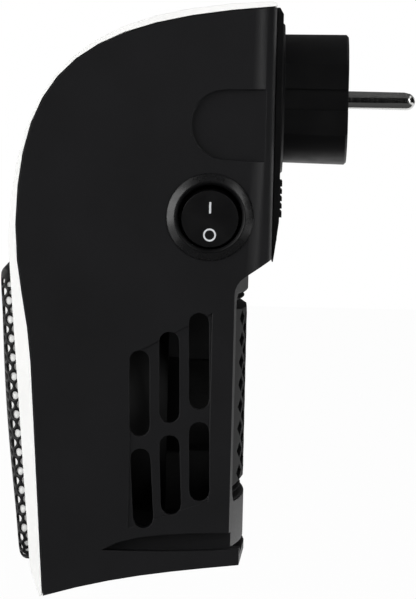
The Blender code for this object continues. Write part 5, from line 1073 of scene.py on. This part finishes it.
def round_shading():
    """A node group that shades faces as one round surface where they meet at a low angle."""
    group = bpy.data.node_groups.new("round_shading", "GeometryNodeTree")
    group.interface.new_socket("Geometry", in_out="INPUT", socket_type="NodeSocketGeometry")
    group.interface.new_socket("Geometry", in_out="OUTPUT", socket_type="NodeSocketGeometry")
    given = add_node(group, "NodeGroupInput")
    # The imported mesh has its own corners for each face: here they are joined again.
    joined = add_node(
        group,
        "GeometryNodeMergeByDistance",
        {"Distance": CORNER_MERGE},
        {"Geometry": given.outputs["Geometry"]},
    )
    corner = add_node(group, "GeometryNodeInputMeshEdgeAngle")
    sharp = add_node(
        group,
        "FunctionNodeCompare",
        {"B": ROUND_BELOW},
        {"A": corner.outputs["Unsigned Angle"]},
        data_type="FLOAT",
        operation="GREATER_THAN",
    )
    smooth = add_node(
        group,
        "GeometryNodeSetShadeSmooth",
        {"Shade Smooth": True},
        {"Geometry": joined.outputs["Geometry"]},
        domain="FACE",
    )
    creased = add_node(
        group,
        "GeometryNodeSetShadeSmooth",
        {"Shade Smooth": False},
        {"Geometry": smooth.outputs["Geometry"], "Selection": sharp.outputs["Result"]},
        domain="EDGE",
    )
    add_node(group, "NodeGroupOutput", links={"Geometry": creased.outputs["Geometry"]})
    return group


def shade_round_forms():
    """Show the turned and rounded forms of the CAD nodes as round, and leave their meshes as they are."""
    group = round_shading()
    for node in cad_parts.values():
        node.modifiers.new("round_shading", "NODES").node_group = group
        weighted = node.modifiers.new("flat_faces_stay_flat", "WEIGHTED_NORMAL")
        weighted.keep_sharp = True


# ------------------------------------------------------- finishes on nodes


def dress_nodes():
    """Give each node the finish of its real material, and return those that the finer pieces wear too."""
    housing_abs = spark_grained_abs()
    lattice_abs = etched_lattice_abs()
    plug_nylon = satin_plug_nylon()
    switch_nylon = polished_switch_nylon()
    white_abs = satin_white_abs()
    grille_steel = lacquered_grille_steel()
    nickel = bright_nickel_pin()
    brass = rolled_brass_strip()
    zinc = zinc_plated_steel()
    aluminium = rolled_aluminium()
    fan_nylon = glass_filled_nylon()
    duct = duct_pbt()
    board = solder_masked_board()
    relay = relay_case()
    epoxy = component_epoxy()
    lens = smoked_acrylic()
    phenolic = heat_proof_moulding()
    worn_by = {
        housing_abs: ["rear_housing"],
        lattice_abs: ["rear_grille"],
        plug_nylon: ["swivel_plug_body", "plug_face_insert", "rear_cover", "plug_lock_slider", "rocker"],
        switch_nylon: ["switch_housing"],
        white_abs: ["front_shell", "grille_frame", "key_1", "key_2", "key_3"],
        grille_steel: ["front_grille"],
        nickel: ["plug_pin_right", "plug_pin_left"],
        brass: [
            "pin_clip_right",
            "pin_clip_left",
            "switch_blade_upper",
            "switch_blade_lower",
            "heater_terminal_right",
            "heater_terminal_left",
        ],
        zinc: [
            "cover_screw_1",
            "cover_screw_2",
            "cover_screw_3",
            "cover_screw_4",
            "shell_screw_right",
            "shell_screw_left",
            "motor_can",
            "motor_shaft",
            "thermal_cutout",
            "thermal_fuse",
        ],
        aluminium: [
            "heater_bar_1",
            "heater_bar_2",
            "heater_bar_3",
            "heater_fins_1",
            "heater_fins_2",
            "heater_fins_3",
            "heater_fins_4",
        ],
        fan_nylon: ["impeller", "motor_end_cap", "swivel_retainer"],
        duct: ["fan_duct"],
        board: ["control_board", "display_board"],
        relay: ["relay"],
        epoxy: [
            "transformer",
            "capacitor",
            "display_module",
            "tact_switch_1",
            "tact_switch_2",
            "tact_switch_3",
        ],
        lens: ["display_lens"],
        phenolic: ["heater_frame"],
    }
    dressed = set()
    for finish, names in worn_by.items():
        for name in names:
            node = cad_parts[name]
            node.data.materials.clear()
            node.data.materials.append(finish)
            dressed.add(name)
    left = set(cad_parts) - dressed
    if left:
        raise SystemExit(f"nodes without a finish: {sorted(left)}")
    return grille_steel, aluminium, white_abs, plug_nylon


# ------------------------------------------------------------------ studio


def soft_light(name, place, width, height, power):
    """A soft box at a place, turned to the middle of the object."""
    data = bpy.data.lights.new(name, "AREA")
    data.shape = "RECTANGLE"
    data.size = width
    data.size_y = height
    data.energy = power
    lamp = bpy.data.objects.new(name, data)
    bpy.context.scene.collection.objects.link(lamp)
    lamp.location = place
    lamp.rotation_mode = "QUATERNION"
    lamp.rotation_quaternion = (Vector(LAMP_AIM) - Vector(place)).to_track_quat("-Z", "Y")
    lamp.visible_camera = False


def light_studio():
    """Soft boxes on both sides and above."""
    soft_light("left_box", *LEFT_BOX)
    soft_light("right_box", *RIGHT_BOX)
    soft_light("top_box", *TOP_BOX)


def light_world():
    """White to the camera and in reflections, a plain pale grey as light."""
    world = bpy.data.worlds.new("studio_world")
    bpy.context.scene.world = world
    world.use_nodes = True
    tree = world.node_tree
    background = tree.nodes["Background"]
    background.inputs["Color"].default_value = (1, 1, 1, 1)
    ray = add_node(tree, "ShaderNodeLightPath")
    seen = add_node(
        tree,
        "ShaderNodeMath",
        links={0: ray.outputs["Is Camera Ray"], 1: ray.outputs["Is Glossy Ray"]},
        operation="MAXIMUM",
    )
    seen_too = add_node(
        tree,
        "ShaderNodeMath",
        links={0: seen.outputs["Value"], 1: ray.outputs["Is Transmission Ray"]},
        operation="MAXIMUM",
    )
    strength = add_node(
        tree,
        "ShaderNodeMapRange",
        {"To Min": ROOM_GLOW, "To Max": ROOM_WHITE},
        {"Value": seen_too.outputs["Value"]},
    )
    tree.links.new(strength.outputs["Result"], background.inputs["Strength"])


def lay_floor():
    """A wide sheet of paper under the object, curled up a little at its far edges."""
    work = bmesh.new()
    rows = []
    for i in range(FLOOR_STEPS + 1):
        row = []
        for j in range(FLOOR_STEPS + 1):
            x = FLOOR_HALF * (2 * i / FLOOR_STEPS - 1)
            y = FLOOR_HALF * (2 * j / FLOOR_STEPS - 1)
            curl = FLOOR_CURL * (max(abs(x), abs(y)) / FLOOR_HALF) ** FLOOR_CURL_POWER
            row.append(work.verts.new((x, y, FLOOR_HEIGHT + curl)))
        rows.append(row)
    for i in range(FLOOR_STEPS):
        for j in range(FLOOR_STEPS):
            work.faces.new((rows[i][j], rows[i + 1][j], rows[i + 1][j + 1], rows[i][j + 1]))
    mesh = bpy.data.meshes.new("paper_floor")
    work.to_mesh(mesh)
    work.free()
    mesh.materials.append(studio_paper())
    floor = bpy.data.objects.new("paper_floor", mesh)
    bpy.context.scene.collection.objects.link(floor)


def felt_card(name, colour):
    """Felt of the studio's cards: it gives back little, and nothing of it as gloss."""
    felt = bpy.data.materials.new(name)
    felt.use_nodes = True
    shader = felt.node_tree.nodes["Principled BSDF"]
    shader.inputs["Base Color"].default_value = linear(colour)
    shader.inputs["Roughness"].default_value = 1.0
    shader.inputs["Specular IOR Level"].default_value = 0.0
    return felt


def dark_card(name, shape, felt):
    """A bent card that only mirrors show: a path of points, carried along its reach."""
    path, reach = shape
    work = bmesh.new()
    near = [work.verts.new(point) for point in path]
    far = [work.verts.new(Vector(point) + Vector(reach)) for point in path]
    for i in range(len(path) - 1):
        work.faces.new((near[i], near[i + 1], far[i + 1], far[i]))
    mesh = bpy.data.meshes.new(name)
    work.to_mesh(mesh)
    work.free()
    mesh.materials.append(felt)
    card = bpy.data.objects.new(name, mesh)
    bpy.context.scene.collection.objects.link(card)
    card.visible_camera = False
    card.visible_diffuse = False
    card.visible_shadow = False


def hang_cards():
    """Dark cards where the wall, the pins, the switch's ring and the lattice would mirror the white room."""
    black = felt_card("black_felt", "0c0c0c")
    grey = felt_card("grey_felt", "626262")
    slate = felt_card("slate_felt", "5a5a5a")
    dark_card("card_over_camera", CARD_OVER_CAMERA, black)
    dark_card("card_overhead", CARD_OVERHEAD, grey)
    dark_card("card_beside_plug", CARD_BESIDE_PLUG, black)
    dark_card("card_below", CARD_BELOW, slate)


def place_camera():
    """The photograph's view: along -X from a little above, rolled a little clockwise."""
    back = Vector((math.cos(CAMERA_ELEVATION), 0, math.sin(CAMERA_ELEVATION)))
    data = bpy.data.cameras.new("camera")
    data.sensor_width = SENSOR
    data.lens = SENSOR * PIXELS_PER_METRE * CAMERA_DISTANCE / PICTURE_HEIGHT
    camera = bpy.data.objects.new("camera", data)
    bpy.context.scene.collection.objects.link(camera)
    camera.location = LOOK_AT + back * CAMERA_DISTANCE
    camera.rotation_mode = "QUATERNION"
    turn = (-back).to_track_quat("-Z", "Y").to_matrix() @ Matrix.Rotation(CAMERA_ROLL, 3, "Z")
    camera.rotation_quaternion = turn.to_quaternion()
    bpy.context.scene.camera = camera


place_camera()
sheet_finish, fin_finish, white_finish, plug_finish = dress_nodes()
shade_round_forms()
front_grille_mesh(sheet_finish)
frame_lip(white_finish)
for strip_index in range(1, FIN_STRIPS + 1):
    fin_strip(strip_index, fin_finish)
motor_sleeve(sponge_rubber())
switch_ring_slope(plug_finish)
switch_marks(pad_printed_white())
light_studio()
light_world()
lay_floor()
hang_cards()
bpy.context.scene.view_settings.view_transform = "Standard"
